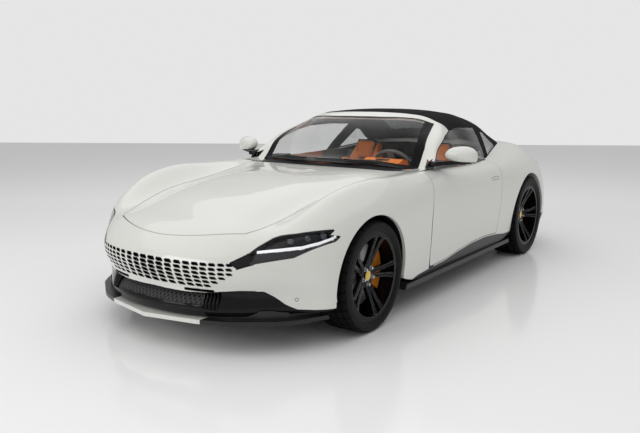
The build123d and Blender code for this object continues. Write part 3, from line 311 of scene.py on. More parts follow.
CORNERS = {
    # The wheel centre's x and y, the tyre's radius and its width.
    end + "_" + side: (way * x, y, radius, width)
    for end, x, y, radius, width in (("front", 0.826, FRONT_AXLE_Y, 0.33975, 0.245),
                                     ("rear", 0.838, REAR_AXLE_Y, 0.35375, 0.285)) for side, way in SIDES
}
rubber = grained(material("tyre_rubber", (0.006, 0.006, 0.006), 0.55, specular=0.15),
                 1500, 0.2, 0.0003, (0.004, 0.008), rough=(0.48, 0.62))
tread_rubber = material("tread_rubber", (0.006, 0.006, 0.006), 0.85, specular=0.1)
tree, shader = inside_of(tread_rubber)
place = add(tree, "UVMap", uv_map="around")
sipes = add(tree, "TexWave", Scale=1.0)
cut = ramp(tree, low=0.06, high=0.14)
# Painted shade: the sipe lines are coloured darker than the tread around them, as the shade in the cuts.
shade = ramp(tree, 0.002, 0.007)
wire(tree, (place, "UV", sipes, "Vector"), (sipes, "Fac", cut, "Fac"),
     (cut, "Color", shade, "Fac"), (shade, "Color", shader, "Base Color"))
raised(tree, cut, "Color", 1.0, 0.004)
FLANK = [
    # Inset from the tyre's side, and radius.
    (0.024, 0.2584), (0.024, 0.2686), (0.0105, 0.2687), (0.007, 0.275), (0.004, 0.283), (0.0045, 0.2845),
    (0.0022, 0.292), (0.001, 0.2935), (0.001, 0.2965), (0.0022, 0.298),
]
SHOULDER = [
    # Inset from the tyre's side, and depth below the tread.
    (0, 0.034), (0.0012, 0.026), (0.004, 0.014), (0.0085, 0.009), (0.016, 0.004), (0.028, 0.0012),
]
GROOVES, GROOVE_DEPTH, GROOVE_HALF, GROOVE_FOOT_HALF = (0.66, 0.24), 0.007, 0.0055, 0.0045
TREAD_DEPTH = 0.012
SIPE_WAVES, SIPE_SLANT = 11.5, 1.4
for corner, (x, y, radius, width) in CORNERS.items():
    half = width / 2
    flank = [(half - inset, r) for inset, r in FLANK]
    flank += [(half - inset, radius - drop) for inset, drop in SHOULDER]
    for groove in (half * GROOVES[0], half * GROOVES[1]):
        flank += [(groove + GROOVE_HALF, radius), (groove + GROOVE_FOOT_HALF, radius - GROOVE_DEPTH),
                  (groove - GROOVE_FOOT_HALF, radius - GROOVE_DEPTH), (groove - GROOVE_HALF, radius)]
    profile = flank + [(-x, r) for x, r in reversed(flank)]
    mesh = turned(profile + [profile[0]])
    around = mesh.loops.layers.uv.new("around")
    for face in mesh.faces:
        centre = face.calc_center_median()
        face.material_index = 1 if centre.yz.length > radius - TREAD_DEPTH else 0
        start = centre.yz.angle_signed(Vector((0, 1))) / (2 * pi)
        for loop in face.loops:
            turn = loop.vert.co.yz.angle_signed(Vector((0, 1))) / (2 * pi)
            turn += 1 if turn < start - 0.5 else (-1 if turn > start + 0.5 else 0)
            loop[around].uv = (turn * SIPE_WAVES + abs(loop.vert.co.x) * SIPE_SLANT, loop.vert.co.x)
    moved(mesh, Matrix.Translation((x, y, radius)))
    settle("tyre_rubber_" + corner, mesh, (rubber, tread_rubber), "tyre_" + corner, True)

# Wheels: forged alloy with twin spokes, painted gloss black, whose turned edges shine as a painted
# highlight, a light grey on the rounded edges. A plain yellow cap closes each hub, inside five plated bolts.
wheel_black = material("gloss_black_wheel", (0.003, 0.003, 0.0035), 0.12, specular=0.12)
tree, shader = inside_of(wheel_black)
rounding = add(tree, "Bevel", samples=4, Radius=0.0022)
truth = add(tree, "NewGeometry")
same = add(tree, "VectorMath", operation="DOT_PRODUCT")
# Painted highlight: the colour turns light grey where the rounded normal leaves the true one, along every
# edge.
edges = ramp(tree, (0.34, 0.34, 0.35), (0.003, 0.003, 0.0035), 0.82, 0.93)
wire(tree, (rounding, 0, same, 0), (truth, "True Normal", same, 1), (same, "Value", edges, "Fac"),
     (edges, "Color", shader, "Base Color"), (rounding, 0, shader, "Normal"))
cap_yellow = grained(material("yellow_cap_enamel", (0.75, 0.5, 0.02), 0.25, Coat_Weight=1.0),
                     900, 0.05, 0.0001, ((0.7, 0.46, 0.015), (0.8, 0.54, 0.03)))
plated = grained(material("plated_steel", (0.6, 0.6, 0.61), 0.22, 1.0),
                 1600, 0.1, 0.0001, rough=(0.16, 0.34))
HUB_FACE = 0.062
CAP_PROFILE = [(-0.002, 0.036), (0.004, 0.0355), (0.006, 0.033), (0.0052, 0.031), (0.0062, 0.029),
               (0.0085, 0.012), (0.009, 0.0)]
CAP_BLACK_FROM = 0.0305
BOLTS, BOLT_CIRCLE, BOLT_OUT = 5, 0.053, 0.007
BOLT_PARTS = (
    # Sides, the two ends' radii, length, and how far out: the hexagon head, then its washer.
    (6, 0.0105, 0.0092, 0.02, 0.0), (20, 0.0135, 0.012, 0.006, -0.005),
)
for corner, (x, y, radius, _) in CORNERS.items():
    place = Matrix.Translation((x, y, radius)) @ Matrix.Diagonal((1 if x > 0 else -1, 1, 1, 1))
    cap = turned([(HUB_FACE + out, r) for out, r in CAP_PROFILE], 48)
    for face in cap.faces:
        face.material_index = 1 if face.calc_center_median().yz.length > CAP_BLACK_FROM else 0
    settle("hub_cap_" + corner, moved(cap, place), (cap_yellow, wheel_black), "rim_" + corner)
    bolts = bmesh.new()
    for n in range(BOLTS):
        spot = (Matrix.Rotation((2 * n + 1) * pi / BOLTS, 4, "X")
                @ Matrix.Translation((HUB_FACE + BOLT_OUT, 0, BOLT_CIRCLE)))
        for segments, wide, narrow, depth, out in BOLT_PARTS:
            made = bmesh.ops.create_cone(bolts, cap_ends=True, segments=segments, radius1=wide,
                                         radius2=narrow, depth=depth)
            axis = Matrix.Translation((out, 0, 0)) @ Matrix.Rotation(pi / 2, 4, "Y")
            moved(bolts, spot @ axis, made["verts"])
    settle("wheel_bolts_" + corner, moved(bolts, place), plated, "rim_" + corner)
    finish("rim_" + corner, wheel_black)

# Brakes and running gear: turned steel discs, calipers in yellow paint, cast aluminium hub carriers,
# arms and engine, bolted together, and plated exhaust tips.
brake_steel = grained(
    material("turned_brake_steel", (0.42, 0.42, 0.43), 0.34, 1.0),
    260, 0.15, 0.0002, ((0.34, 0.34, 0.35), (0.5, 0.5, 0.51)), detail=4, rough=(0.26, 0.46))
cast_alloy = grained(material("cast_aluminium", (0.1, 0.1, 0.105), 0.5, 0.8),
                     500, 0.4, 0.0006, ((0.08, 0.08, 0.085), (0.13, 0.13, 0.135)), rough=(0.42, 0.6))
caliper_yellow = grained(material("yellow_caliper_paint", (0.62, 0.2, 0.015), 0.3, Coat_Weight=0.5),
                         700, 0.12, 0.0003, ((0.57, 0.18, 0.012), (0.66, 0.23, 0.02)))
for corner in CORNERS:
    finish("brake_disc_" + corner, brake_steel)
    finish("hub_carrier_" + corner, cast_alloy)
    finish("caliper_" + corner, caliper_yellow)
finish("suspension engine", cast_alloy)
finish("exhausts", plated)


# Glass: a laminated windscreen with a black ceramic border printed round its edge, and tempered side
# and rear glass. Shadow rays pass, so that the cabin is lit as it is behind real thin panes.
def pane(name, tint, ior=1.16):
    made = material(name, tint, 0.0, Transmission_Weight=1.0, IOR=ior)
    tree, shader = inside_of(made)
    path = add(tree, "LightPath")
    seen = add(tree, "Math", operation="SUBTRACT")
    seen.inputs[0].default_value = 1.0
    dust = in_place(tree, "TexNoise", Scale=60.0, Detail=3.0)
    smear = add(tree, "MapRange", **{"To Max": 0.02})
    wire(tree, (path, "Is Shadow Ray", seen, 1), (seen, 0, shader, "Alpha"),
         (dust, "Fac", smear, "Value"), (smear, "Result", shader, "Roughness"))
    return made


CLEAR = (0.97, 0.98, 0.975)
clear_glass = pane("clear_side_glass", CLEAR)
screen_glass = pane("laminated_screen_glass", CLEAR)
quarter_glass = pane("quarter_glass", (0.8, 0.82, 0.82), ior=1.6)
rear_glass = pane("dark_rear_glass", (0.12, 0.125, 0.125), ior=1.3)
frit = grained(material("black_ceramic_frit", (0.004, 0.004, 0.005), 0.3, specular=0.06),
               900, 0.02, 0.0001, ((0.005, 0.005, 0.006), (0.009, 0.009, 0.01)))
finish("door_glass_left door_glass_right", clear_glass)
REAR_PANE_HALF, REAR_PANE_Y = 0.5, 0.9
dressed("rear_glasses", (quarter_glass, rear_glass),
        lambda c, n: 1 if abs(c.x) < REAR_PANE_HALF and c.y > REAR_PANE_Y else 0)


def mesh_of(node, merge=1e-6):
    """A CAD node's mesh with its doubled corners merged."""
    mesh = bmesh.new()
    mesh.from_mesh(nodes[node].data)
    bmesh.ops.remove_doubles(mesh, verts=mesh.verts, dist=merge)
    mesh.normal_update()
    return mesh


def keep(mesh, wanted):
    """Deletes the faces of a mesh for which wanted(face) is false."""
    bmesh.ops.delete(mesh, geom=[face for face in mesh.faces if not wanted(face)], context="FACES")


MOST_FACES = 90000


def skin_of(node, name, made, faces, area, inside, reach=0.008, lift=0.0005, rounds=9):
    """A thin printed or let-in layer: a CAD node's faces of some facing that reach into an area, cut
    fine, kept where inside(point) holds, and lifted just proud."""
    mesh = mesh_of(node, 1e-5)
    keep(mesh, lambda face: faces(face.normal))
    for _ in range(rounds):
        keep(mesh, lambda face: area(face.calc_center_median(), face.calc_perimeter() / 2))
        wide = [edge for edge in mesh.edges if edge.calc_length() > reach]
        if not wide or len(mesh.faces) > MOST_FACES:
            break
        bmesh.ops.subdivide_edges(mesh, edges=wide, cuts=1)
        bmesh.ops.triangulate(mesh, faces=[face for face in mesh.faces if len(face.verts) > 3])
    keep(mesh, lambda face: inside(face.calc_center_median()))
    mesh.normal_update()
    for vert in mesh.verts:
        vert.co += vert.normal * lift
    settle(name, mesh, made, node, recalc=False)


def along(points, value):
    """Reads a table of (value, result) rows, straight between its rows."""
    for (a, x), (b, y) in zip(points, points[1:]):
        if value <= b:
            return x + (y - x) * max(0.0, (value - a) / (b - a))
    return points[-1][1]


SCREEN_FOOT = [(0, 0.735), (0.24, 0.757), (0.48, 0.822), (0.72, 0.938)]
SCREEN_HEAD = [(0, 1.315), (0.21, 1.329), (0.42, 1.372), (0.6, 1.44)]
SCREEN_SIDE = [(0.935, 0.712), (1.092, 0.698), (1.363, 0.618), (1.44, 0.6)]
FRIT_FOOT, FRIT_HEAD, FRIT_SIDE = 0.075, 0.03, 0.066
SCREEN_BOW, SCREEN_AHEAD, SCREEN_UP, OUTER_FACING = 0.45, -0.5, 0.82, 0.15


def on_frit(point):
    s, x = point.y - FRONT_AXLE_Y, abs(point.x)
    return (s < along(SCREEN_FOOT, x) + FRIT_FOOT or s > along(SCREEN_HEAD, x) - FRIT_HEAD
            or x > along(SCREEN_SIDE, s) - FRIT_SIDE)


def screen_finish(centre, normal):
    """Black on the faces of the screen's edge, which stand across its outward direction."""
    outward = Vector((SCREEN_BOW * centre.x, SCREEN_AHEAD, SCREEN_UP)).normalized()
    return 1 if abs(normal.dot(outward)) < 0.5 else 0


dressed("windscreen", (screen_glass, frit), screen_finish)
skin_of("windscreen", "windscreen_frit", frit, lambda n: n.z > OUTER_FACING, lambda c, r: True,
        on_frit)


# Gasket: a black rubber bead pressed on round the whole edge of the windscreen. It follows the open
# edge of the screen's outer face.
def tube(name, points, radius, made, node, ring=False):
    """A round bar or bead that runs smoothly through points, or from point to point in a closed ring."""
    curve = bpy.data.curves.new(name, "CURVE")
    curve.dimensions = "3D"
    curve.bevel_depth, curve.bevel_resolution = radius, 1 if ring else 2
    curve.use_fill_caps = not ring
    spline = curve.splines.new("POLY" if ring else "NURBS")
    spline.points.add(len(points) - 1)
    for spot, point in zip(spline.points, points):
        spot.co = (*point, 1)
    spline.use_cyclic_u, spline.use_endpoint_u = ring, not ring
    spline.order_u, spline.resolution_u = 3, 4
    holder = bpy.data.objects.new(name, curve)
    mesh = bmesh.new()
    mesh.from_mesh(bpy.data.meshes.new_from_object(holder))
    bpy.data.objects.remove(holder)
    settle(name, mesh, made, node)


GASKET_RADIUS, GASKET_SINK = 0.0045, 0.0015
outer = mesh_of("windscreen", 1e-5)
keep(outer, lambda face: face.normal.z >= OUTER_FACING)
spot = next(edge for edge in outer.edges if edge.is_boundary).verts[0]
rim = []
while spot:
    rim.append(spot)
    ahead = [edge.other_vert(spot) for edge in spot.link_edges if edge.is_boundary]
    spot = next((vert for vert in ahead if vert not in rim), None)
tube("windscreen_gasket", [vert.co - vert.normal * GASKET_SINK for vert in rim], GASKET_RADIUS, frit,
     "windscreen", ring=True)
outer.free()

# Cowl: a black moulded strip, clipped on under the screen's foot, that closes the gap between it and
# the bonnet's rear edge.
COWL = [
    # x, then the lower edge's station and height, then the upper edge's.
    (-0.74, 0.935, 0.880, 0.975, 0.893), (-0.66, 0.860, 0.880, 0.905, 0.892),
    (-0.60, 0.815, 0.876, 0.868, 0.899), (-0.50, 0.782, 0.876, 0.815, 0.912),
    (-0.40, 0.758, 0.878, 0.785, 0.919), (-0.20, 0.733, 0.880, 0.750, 0.921),
    (0.00, 0.722, 0.880, 0.728, 0.919),
]
COWL += [(-x, *rest) for x, *rest in reversed(COWL[:-1])]
cowl = bmesh.new()
lower, upper = ([cowl.verts.new((row[0], FRONT_AXLE_Y + row[k], row[k + 1])) for row in COWL]
                for k in (1, 3))
for index in range(len(COWL) - 1):
    cowl.faces.new((lower[index], lower[index + 1], upper[index + 1], upper[index]))
bmesh.ops.solidify(cowl, geom=cowl.faces[:], thickness=0.003)
settle("cowl_strip", cowl, black_plastic, "windscreen")

# Corner panels: small painted pressings, one on each side, that fill the corner between the bonnet, the
# door and the screen.
CORNER_PANEL = [
    # x, station and height of each corner.
    (0.640, 0.862, 0.889), (0.665, 0.836, 0.889), (0.740, 0.820, 0.893), (0.806, 0.812, 0.897),
    (0.806, 0.960, 0.902), (0.745, 0.985, 0.902), (0.690, 0.950, 0.893),
]
for side, way in SIDES:
    panel = bmesh.new()
    panel.faces.new([panel.verts.new((way * x, FRONT_AXLE_Y + s, z)) for x, s, z in CORNER_PANEL])
    bmesh.ops.recalc_face_normals(panel, faces=panel.faces)
    bmesh.ops.solidify(panel, geom=panel.faces[:], thickness=0.002)
    settle("corner_panel_" + side, panel, pearl_paint, "windscreen_frame")


# Sail panels: a gloss black plate fixed to each door at the window's front corner. The mirror's arm
# comes out of it.
def prism(outline, low, high, place):
    """A flat outline given thickness: place(u, v, w) puts its points, w running from low to high."""
    mesh = bmesh.new()
    ends = [[mesh.verts.new(place(u, v, w)) for u, v in outline] for w in (low, high)]
    for ring in ends:
        mesh.faces.new(ring)
    for k in range(len(outline)):
        mesh.faces.new((ends[0][k - 1], ends[0][k], ends[1][k], ends[1][k - 1]))
    bmesh.ops.recalc_face_normals(mesh, faces=mesh.faces)
    return mesh


SAIL = [
    # Station and height of each corner.
    (0.900, 0.882), (0.925, 0.925), (0.965, 0.955), (1.030, 0.972), (1.100, 0.955), (1.160, 0.915),
    (1.450, 0.898), (1.450, 0.880),
]
SAIL_INNER, SAIL_OUTER = 0.800, 0.806
for side, way in SIDES:
    sail = prism(SAIL, SAIL_INNER, SAIL_OUTER, lambda s, z, x: (way * x, FRONT_AXLE_Y + s, z))
    settle("sail_panel_" + side, sail, gloss_black, "door_" + side)

# Fabric roof: black woven acrylic over padding, stretched on its folding frame, with a dark lining and
# two lengthwise sewn seams that stand up as beads.
roof_cloth = material("black_roof_cloth", (0.008, 0.008, 0.009), 0.8, specular=0.08)
tree, shader = inside_of(roof_cloth)
weave = add(tree, "Math", operation="MULTIPLY")
for slot, direction in enumerate("XY"):
    threads = in_place(tree, "TexWave", Scale=260.0, Distortion=0.4, bands_direction=direction)
    wire(tree, (threads, "Fac", weave, slot))
tone = ramp(tree, (0.005, 0.005, 0.006), (0.018, 0.018, 0.02))
wire(tree, (weave, 0, tone, "Fac"), (tone, "Color", shader, "Base Color"))
raised(tree, weave, 0, 0.5, 0.0006)
headlining = grained(material("dark_headlining", (0.008, 0.008, 0.008), 0.9),
                     900, 0.4, 0.0004, (0.006, (0.011, 0.011, 0.012)))
dressed("soft_top", (roof_cloth, headlining), lambda c, n: 1 if n.z < -0.1 else 0)


def drop_on(node):
    """A function that gives the point of a CAD node right below an x and a station."""
    data = nodes[node].data
    faces = BVHTree.FromPolygons([v.co for v in data.vertices], [f.vertices for f in data.polygons])
    return lambda x, s: faces.ray_cast(Vector((x, FRONT_AXLE_Y + s, 2)), Vector((0, 0, -1)))[0]


on_roof = drop_on("soft_top")
ROOF_SEAM_X, ROOF_SEAM_RADIUS, ROOF_SEAM_FOOT = 0.43, 0.0028, 1.02
ROOF_SEAM_START, ROOF_SEAM_STEP, ROOF_SEAM_POINTS = 1.47, 0.052, 24
for side, way in SIDES:
    hits = [on_roof(way * ROOF_SEAM_X, ROOF_SEAM_START + step * ROOF_SEAM_STEP)
            for step in range(ROOF_SEAM_POINTS)]
    tube("roof_seam_" + side, [hit for hit in hits if hit and hit.z > ROOF_SEAM_FOOT], ROOF_SEAM_RADIUS,
         roof_cloth, "soft_top")


# Door mirrors: a painted cap over a gloss black foot, with silvered glass let into its back. A gloss
# black arm, bolted to the door, carries it.
def rounded(mesh, by, segments):
    bmesh.ops.bevel(mesh, geom=mesh.edges[:], offset=by, affect="EDGES", segments=segments, profile=0.5,
                    material=-1)
    return mesh


silvered = grained(material("silvered_mirror", (0.85, 0.86, 0.87), 0.02, 1.0), 40, 0.005, 0.0001)
OLD_ARM_TOP, OLD_ARM_END, CAP_FOOT, CAP_SQUASH = 0.9452, 1.034, 0.956, 0.3
MIRROR_ARM = [
    # x and station of each corner, seen from above.
    (0.812, 0.950), (0.862, 0.950), (0.900, 1.020), (1.030, 1.080), (1.062, 1.098), (1.050, 1.112),
    (0.900, 1.096), (0.812, 1.070),
]
ARM_TOP, ARM_DEPTHS, ARM_ROUNDING = 0.956, [(0.812, 0.038), (1.062, 0.014)], 0.004
for side, way in SIDES:
    cap = mesh_of("mirror_" + side)
    keep(cap, lambda face: face.calc_center_median().z >= OLD_ARM_TOP
         or way * face.calc_center_median().x >= OLD_ARM_END)
    for face in cap.faces:
        low = face.calc_center_median().z < CAP_FOOT - 0.004
        face.material_index = 2 if face.normal.y > 0.8 else (1 if low else 0)
    for vert in cap.verts:
        if vert.co.z < CAP_FOOT:
            vert.co.z = CAP_FOOT - (CAP_FOOT - vert.co.z) * CAP_SQUASH
    settle("mirror_cap_" + side, cap, (pearl_paint, gloss_black, silvered), "mirror_" + side, True,
           recalc=False)
    arm = prism(MIRROR_ARM, 0.0, 1.0, lambda x, s, w: (
        way * x, FRONT_AXLE_Y + s, ARM_TOP - along(ARM_DEPTHS, x) * w))
    settle("mirror_arm_" + side, rounded(arm, ARM_ROUNDING, 2), gloss_black, "mirror_" + side)

# Headlamps: a black housing with a white light bar over a grey ribbed shelf and three projector lenses,
# behind a clear moulded cover that is glued on round its edge.
LAMP_FACING = Vector((0.48, -0.68, 0.55)).normalized()
LAMP_ACROSS = LAMP_FACING.cross(Vector((0, 0, 1))).normalized()
LAMP_UP = LAMP_ACROSS.cross(LAMP_FACING)
LIGHT_BAR = [
    # x, station and height of each corner, here and in the two tables below.
    (0.617, -0.704, 0.586), (0.712, -0.620, 0.597), (0.800, -0.541, 0.607), (0.857, -0.467, 0.625),
    (0.891, -0.405, 0.642), (0.908, -0.366, 0.653), (0.908, -0.368, 0.639), (0.891, -0.407, 0.624),
    (0.857, -0.469, 0.607), (0.800, -0.543, 0.589), (0.712, -0.622, 0.578), (0.617, -0.704, 0.568),
]
LAMP_SHELF = [
    (0.617, -0.704, 0.572), (0.712, -0.622, 0.582), (0.800, -0.543, 0.593), (0.857, -0.469, 0.611),
    (0.891, -0.407, 0.628), (0.950, -0.330, 0.610), (0.845, -0.520, 0.540), (0.700, -0.690, 0.490),
    (0.600, -0.760, 0.500),
]
PROJECTORS = [(0.738, -0.566, 0.626), (0.806, -0.500, 0.640), (0.862, -0.430, 0.652)]
PROJECTOR_REACH = 0.018


def flat(x, y, z):
    """A point in the lamp's own flat coordinates, across and up its face."""
    return Matrix((LAMP_ACROSS, LAMP_UP)) @ Vector((x, y, z))


bar, shelf, eyes = ([flat(x, FRONT_AXLE_Y + s, z) for x, s, z in table]
                    for table in (LIGHT_BAR, LAMP_SHELF, PROJECTORS))


def in_outline(point, outline):
    """Whether a flat point lies inside a closed outline, by counting the sides that it is level with."""
    odd = False
    for a, b in zip(outline, outline[1:] + outline[:1]):
        if (a.y > point.y) != (b.y > point.y):
            odd ^= point.x < a.x + (b.x - a.x) * (point.y - a.y) / (b.y - a.y)
    return odd


def lamp_finish(spot):
    if in_outline(spot, bar):
        return 1
    if any((spot - eye).length < PROJECTOR_REACH for eye in eyes):
        return 3
    return 2 if in_outline(spot, shelf) else 0


def loose_parts(node):
    """The separate solids of a CAD node as sets of merged faces, largest first."""
    mesh = mesh_of(node)
    left, parts = set(mesh.faces), []
    while left:
        front = [left.pop()]
        part = set(front)
        while front:
            near = {face for edge in front.pop().edges for face in edge.link_faces} & left
            left -= near
            part |= near
            front += near
        parts.append(part)
    return mesh, sorted(parts, key=lambda part: -sum(face.calc_area() for face in part))


lamp_black = grained(material("lamp_housing_black", (0.006, 0.006, 0.007), 0.25, specular=0.3),
                     1200, 0.1, 0.0002, ((0.004, 0.004, 0.005), (0.012, 0.012, 0.013)))
lamp_grey = material("lamp_shelf_grey", (0.035, 0.035, 0.038), 0.3, specular=0.4)
tree = lamp_grey.node_tree
raised(tree, in_place(tree, "TexWave", Scale=55.0, bands_direction="DIAGONAL"), "Fac", 0.4, 0.001)
light_bar = grained(
    material("white_light_bar", (0.85, 0.86, 0.88), 0.25, Coat_Weight=1.0, Emission_Strength=0.25,
             Emission_Color=(1, 1, 1, 1)),
    400, 0.05, 0.0002, ((0.8, 0.81, 0.83), (0.9, 0.9, 0.92)))
lens_chrome = grained(material("projector_lens", (0.5, 0.52, 0.56), 0.08, 0.9),
                      300, 0.2, 0.0005, ((0.03, 0.034, 0.04), (0.16, 0.17, 0.19)))
cover_glass = pane("clear_lamp_cover", (0.97, 0.98, 0.98))
LAMP_PARTS = {"headlamp_housing_": (lamp_black, light_bar, lamp_grey, lens_chrome),
              "headlamp_cover_": cover_glass}
for side, way in SIDES:
    for index, (name, made) in enumerate(LAMP_PARTS.items()):
        mesh, parts = loose_parts("headlamp_" + side)
        keep(mesh, lambda face: face in parts[index])
        if name == "headlamp_housing_":
            for face in mesh.faces:
                centre = face.calc_center_median()
                face.material_index = lamp_finish(flat(centre.x * way, centre.y, centre.z))
        settle(name + side, mesh, made, "headlamp_" + side, True, recalc=False)

# Tail lamps: thin lenses moulded in clear red acrylic, let into the painted tail and held from inside
# the boot.
red_lens = grained(material("red_lamp_lens", (0.42, 0.008, 0.01), 0.1, Coat_Weight=1.0),
                   500, 0.1, 0.0003, ((0.3, 0.005, 0.006), (0.5, 0.012, 0.014)))
finish("tail_lamps", red_lens)

# Wipers: black moulded blades and arms, parked over the screen's foot. Each is a round bar that follows
# the glass.
on_screen = drop_on("windscreen")
WIPERS = {"driver": (-0.06, 0.46), "passenger": (-0.60, -0.14)}
WIPER_STEPS, WIPER_RISE, WIPER_ARM_DROP, WIPER_OUT = 12, 0.042, 0.026, Vector((0, -0.5, 0.85))
BLADE_LIFT, BLADE_RADIUS, WIPER_ARM_LIFT, WIPER_ARM_RADIUS = 0.007, 0.0035, 0.013, 0.0045
for label, (start, stop) in WIPERS.items():
    blade, arm = [], []
    for step in range(WIPER_STEPS + 1):
        x = start + (stop - start) * step / WIPER_STEPS
        s = along(SCREEN_FOOT, abs(x)) + WIPER_RISE
        past = step / (WIPER_STEPS / 2) - 1
        blade.append((on_screen(x, s), BLADE_LIFT))
        if past >= 0:
            arm.append((on_screen(x, s - WIPER_ARM_DROP * past), WIPER_ARM_LIFT))
    for part, path, radius in (("blade", blade, BLADE_RADIUS), ("arm", arm, WIPER_ARM_RADIUS)):
        tube("wiper_%s_%s" % (part, label), [hit + WIPER_OUT * lift for hit, lift in path if hit], radius,
             black_plastic, "windscreen")

# Door handles: flush painted flaps, each shown by the dark gap round it in the door's skin. The gap's dark
# is painted shade: a thin gloss black layer let into that skin.
HANDLE_X, HANDLE_STATION, HANDLE_HEIGHT = 0.955, 1.865, 0.765
HANDLE_HALF, HANDLE_HALF_HEIGHT, HANDLE_AREA = 0.065, 0.012, 0.09


def handle_gap(point):
    """On the thin ring of painted shade, straight above and below, that outlines the handle."""
    u = abs(point.y - FRONT_AXLE_Y - HANDLE_STATION) / HANDLE_HALF
    v = abs(point.z - HANDLE_HEIGHT) / HANDLE_HALF_HEIGHT
    return 0.955 < max(u, v * 0.8 + 0.2) < 1.0 or (u < 1.0 and 0.8 < v < 1.0)


# Painted shade: each handle's gap is a gloss black ring lifted just proud of the door's skin.
for side, way in SIDES:
    spot = Vector((way * HANDLE_X, FRONT_AXLE_Y + HANDLE_STATION, HANDLE_HEIGHT))
    skin_of("door_" + side, "handle_gap_" + side, gloss_black, lambda n: n.x * way > 0.5,
            lambda c, r: (c - spot).length < HANDLE_AREA + r, handle_gap, 0.004, 0.0004, 12)

# Parking sensors: a small round sensor pressed into each front corner of the bumper, painted with it,
# so that only its thin ring of gap shows, drawn as a gloss black ring of painted shade.
SENSOR_X, SENSOR_Y, SENSOR_Z = 0.776, FRONT_AXLE_Y - 0.558, 0.305
SENSOR_INNER, SENSOR_OUTER, SENSOR_AREA = 0.0078, 0.0105, 0.02
for side, way in SIDES:
    eye = Vector((way * SENSOR_X, SENSOR_Y, SENSOR_Z))
    # Painted shade: the ring round each sensor is a thin gloss black layer on the bumper's face.
    skin_of("front_bumper", "parking_sensor_shade_ring_" + side, gloss_black, lambda n: n.x * way > 0.2,
            lambda c, r: (c - eye).length < SENSOR_AREA + r,
            lambda c: SENSOR_INNER < (c - eye).length < SENSOR_OUTER, 0.0025, 0.0004, 12)

# Rear plate: a blank pressed aluminium plate in white enamel, screwed into the recess of the rear
# bumper and leaning with it.
plate_white = grained(material("blank_plate_enamel", (0.6, 0.6, 0.58), 0.35, Coat_Weight=0.4),
                      600, 0.1, 0.0002, ((0.56, 0.56, 0.54), (0.64, 0.64, 0.62)))
PLATE_HALF, PLATE_HALF_HEIGHT, PLATE_HALF_DEPTH = 0.215, 0.05, 0.001
PLATE_Y, PLATE_Z, PLATE_LEAN = 2.3225, 0.53, radians(5)
plate = prism([(-PLATE_HALF, -PLATE_HALF_HEIGHT), (PLATE_HALF, -PLATE_HALF_HEIGHT),
               (PLATE_HALF, PLATE_HALF_HEIGHT), (-PLATE_HALF, PLATE_HALF_HEIGHT)],
              -PLATE_HALF_DEPTH, PLATE_HALF_DEPTH, lambda u, v, w: (u, w, v))
moved(plate, Matrix.Translation((0, PLATE_Y, PLATE_Z)) @ Matrix.Rotation(PLATE_LEAN, 4, "X"))
settle("blank_rear_plate", plate, plate_white, "rear_bumper")

# Diffuser fins: four thin upright blades in the diffuser's satin black composite, moulded on across its
# exit.
FIN = [(2.135, 0.178), (2.175, 0.178), (2.262, 0.292), (2.225, 0.300)]
FIN_SPOTS, FIN_HALF = (-0.30, -0.12, 0.12, 0.30), 0.003
for index, x in enumerate(FIN_SPOTS, 1):
    fin = prism(FIN, -FIN_HALF, FIN_HALF, lambda y, z, w: (x + w, y, z))
    settle("diffuser_fin_%d" % index, fin, satin_black, "rear_diffuser")

# Grille lips: each slot in the painted nose has a fine black lip, partly the edge of the moulded frame that
# is pressed into it from behind, partly painted shade along the slot's edge.
GRILLE_LIP_SHADE = 0.0032
bumper = nodes["front_bumper"].data
walls = [face for face in bumper.polygons if in_grille(face.center) and -0.3 < face.normal.y < 0.6
         and abs(face.normal.z) + abs(face.normal.x) > 0.3]
slot_walls = BVHTree.FromPolygons([v.co for v in bumper.vertices], [f.vertices for f in walls])


def from_wall(point):
    return slot_walls.find_nearest(point)[3] or 1


# Painted shade: a thin gloss black layer on the nose's face, within a few millimetres of each slot wall.
skin_of("front_bumper", "grille_slot_shade_lips", gloss_black, lambda n: n.y < -0.3,
        lambda c, r: from_wall(c) < GRILLE_LIP_SHADE + r, lambda c: in_grille(c) and from_wall(c) < GRILLE_LIP_SHADE,
        0.005, 0.0004)

# Front seats: foam pads under tan leather on a black moulded shell and base. Each pad is a rounded
# block blown up as cloth, so that it crowns between its seams, then given its sewn channels.
PAD_CAP, PAD_VOXEL, PAD_PRESSURE, PAD_FRAMES, PAD_FILL = 0.022, 0.010, 4.0, 20, 0.8
SEAM_DEPTH, SEAM_HALF = 0.006, 0.007


def block(size, round_by, taper=1.0):
    """A box with rounded edges about the origin, whose foot is taper times as wide as its top."""
    mesh = bmesh.new()
    bmesh.ops.create_cube(mesh, size=1)
    moved(mesh, Matrix.Diagonal((*size, 1)))
    for vert in mesh.verts:
        if vert.co.z < 0:
            vert.co.x *= taper
    return rounded(mesh, round_by, 4)


def applied(piece):
    """Puts a piece's modifiers into its mesh."""
    data = bpy.data.meshes.new_from_object(piece.evaluated_get(bpy.context.evaluated_depsgraph_get()))
    piece.modifiers.clear()
    piece.data = data
    return data


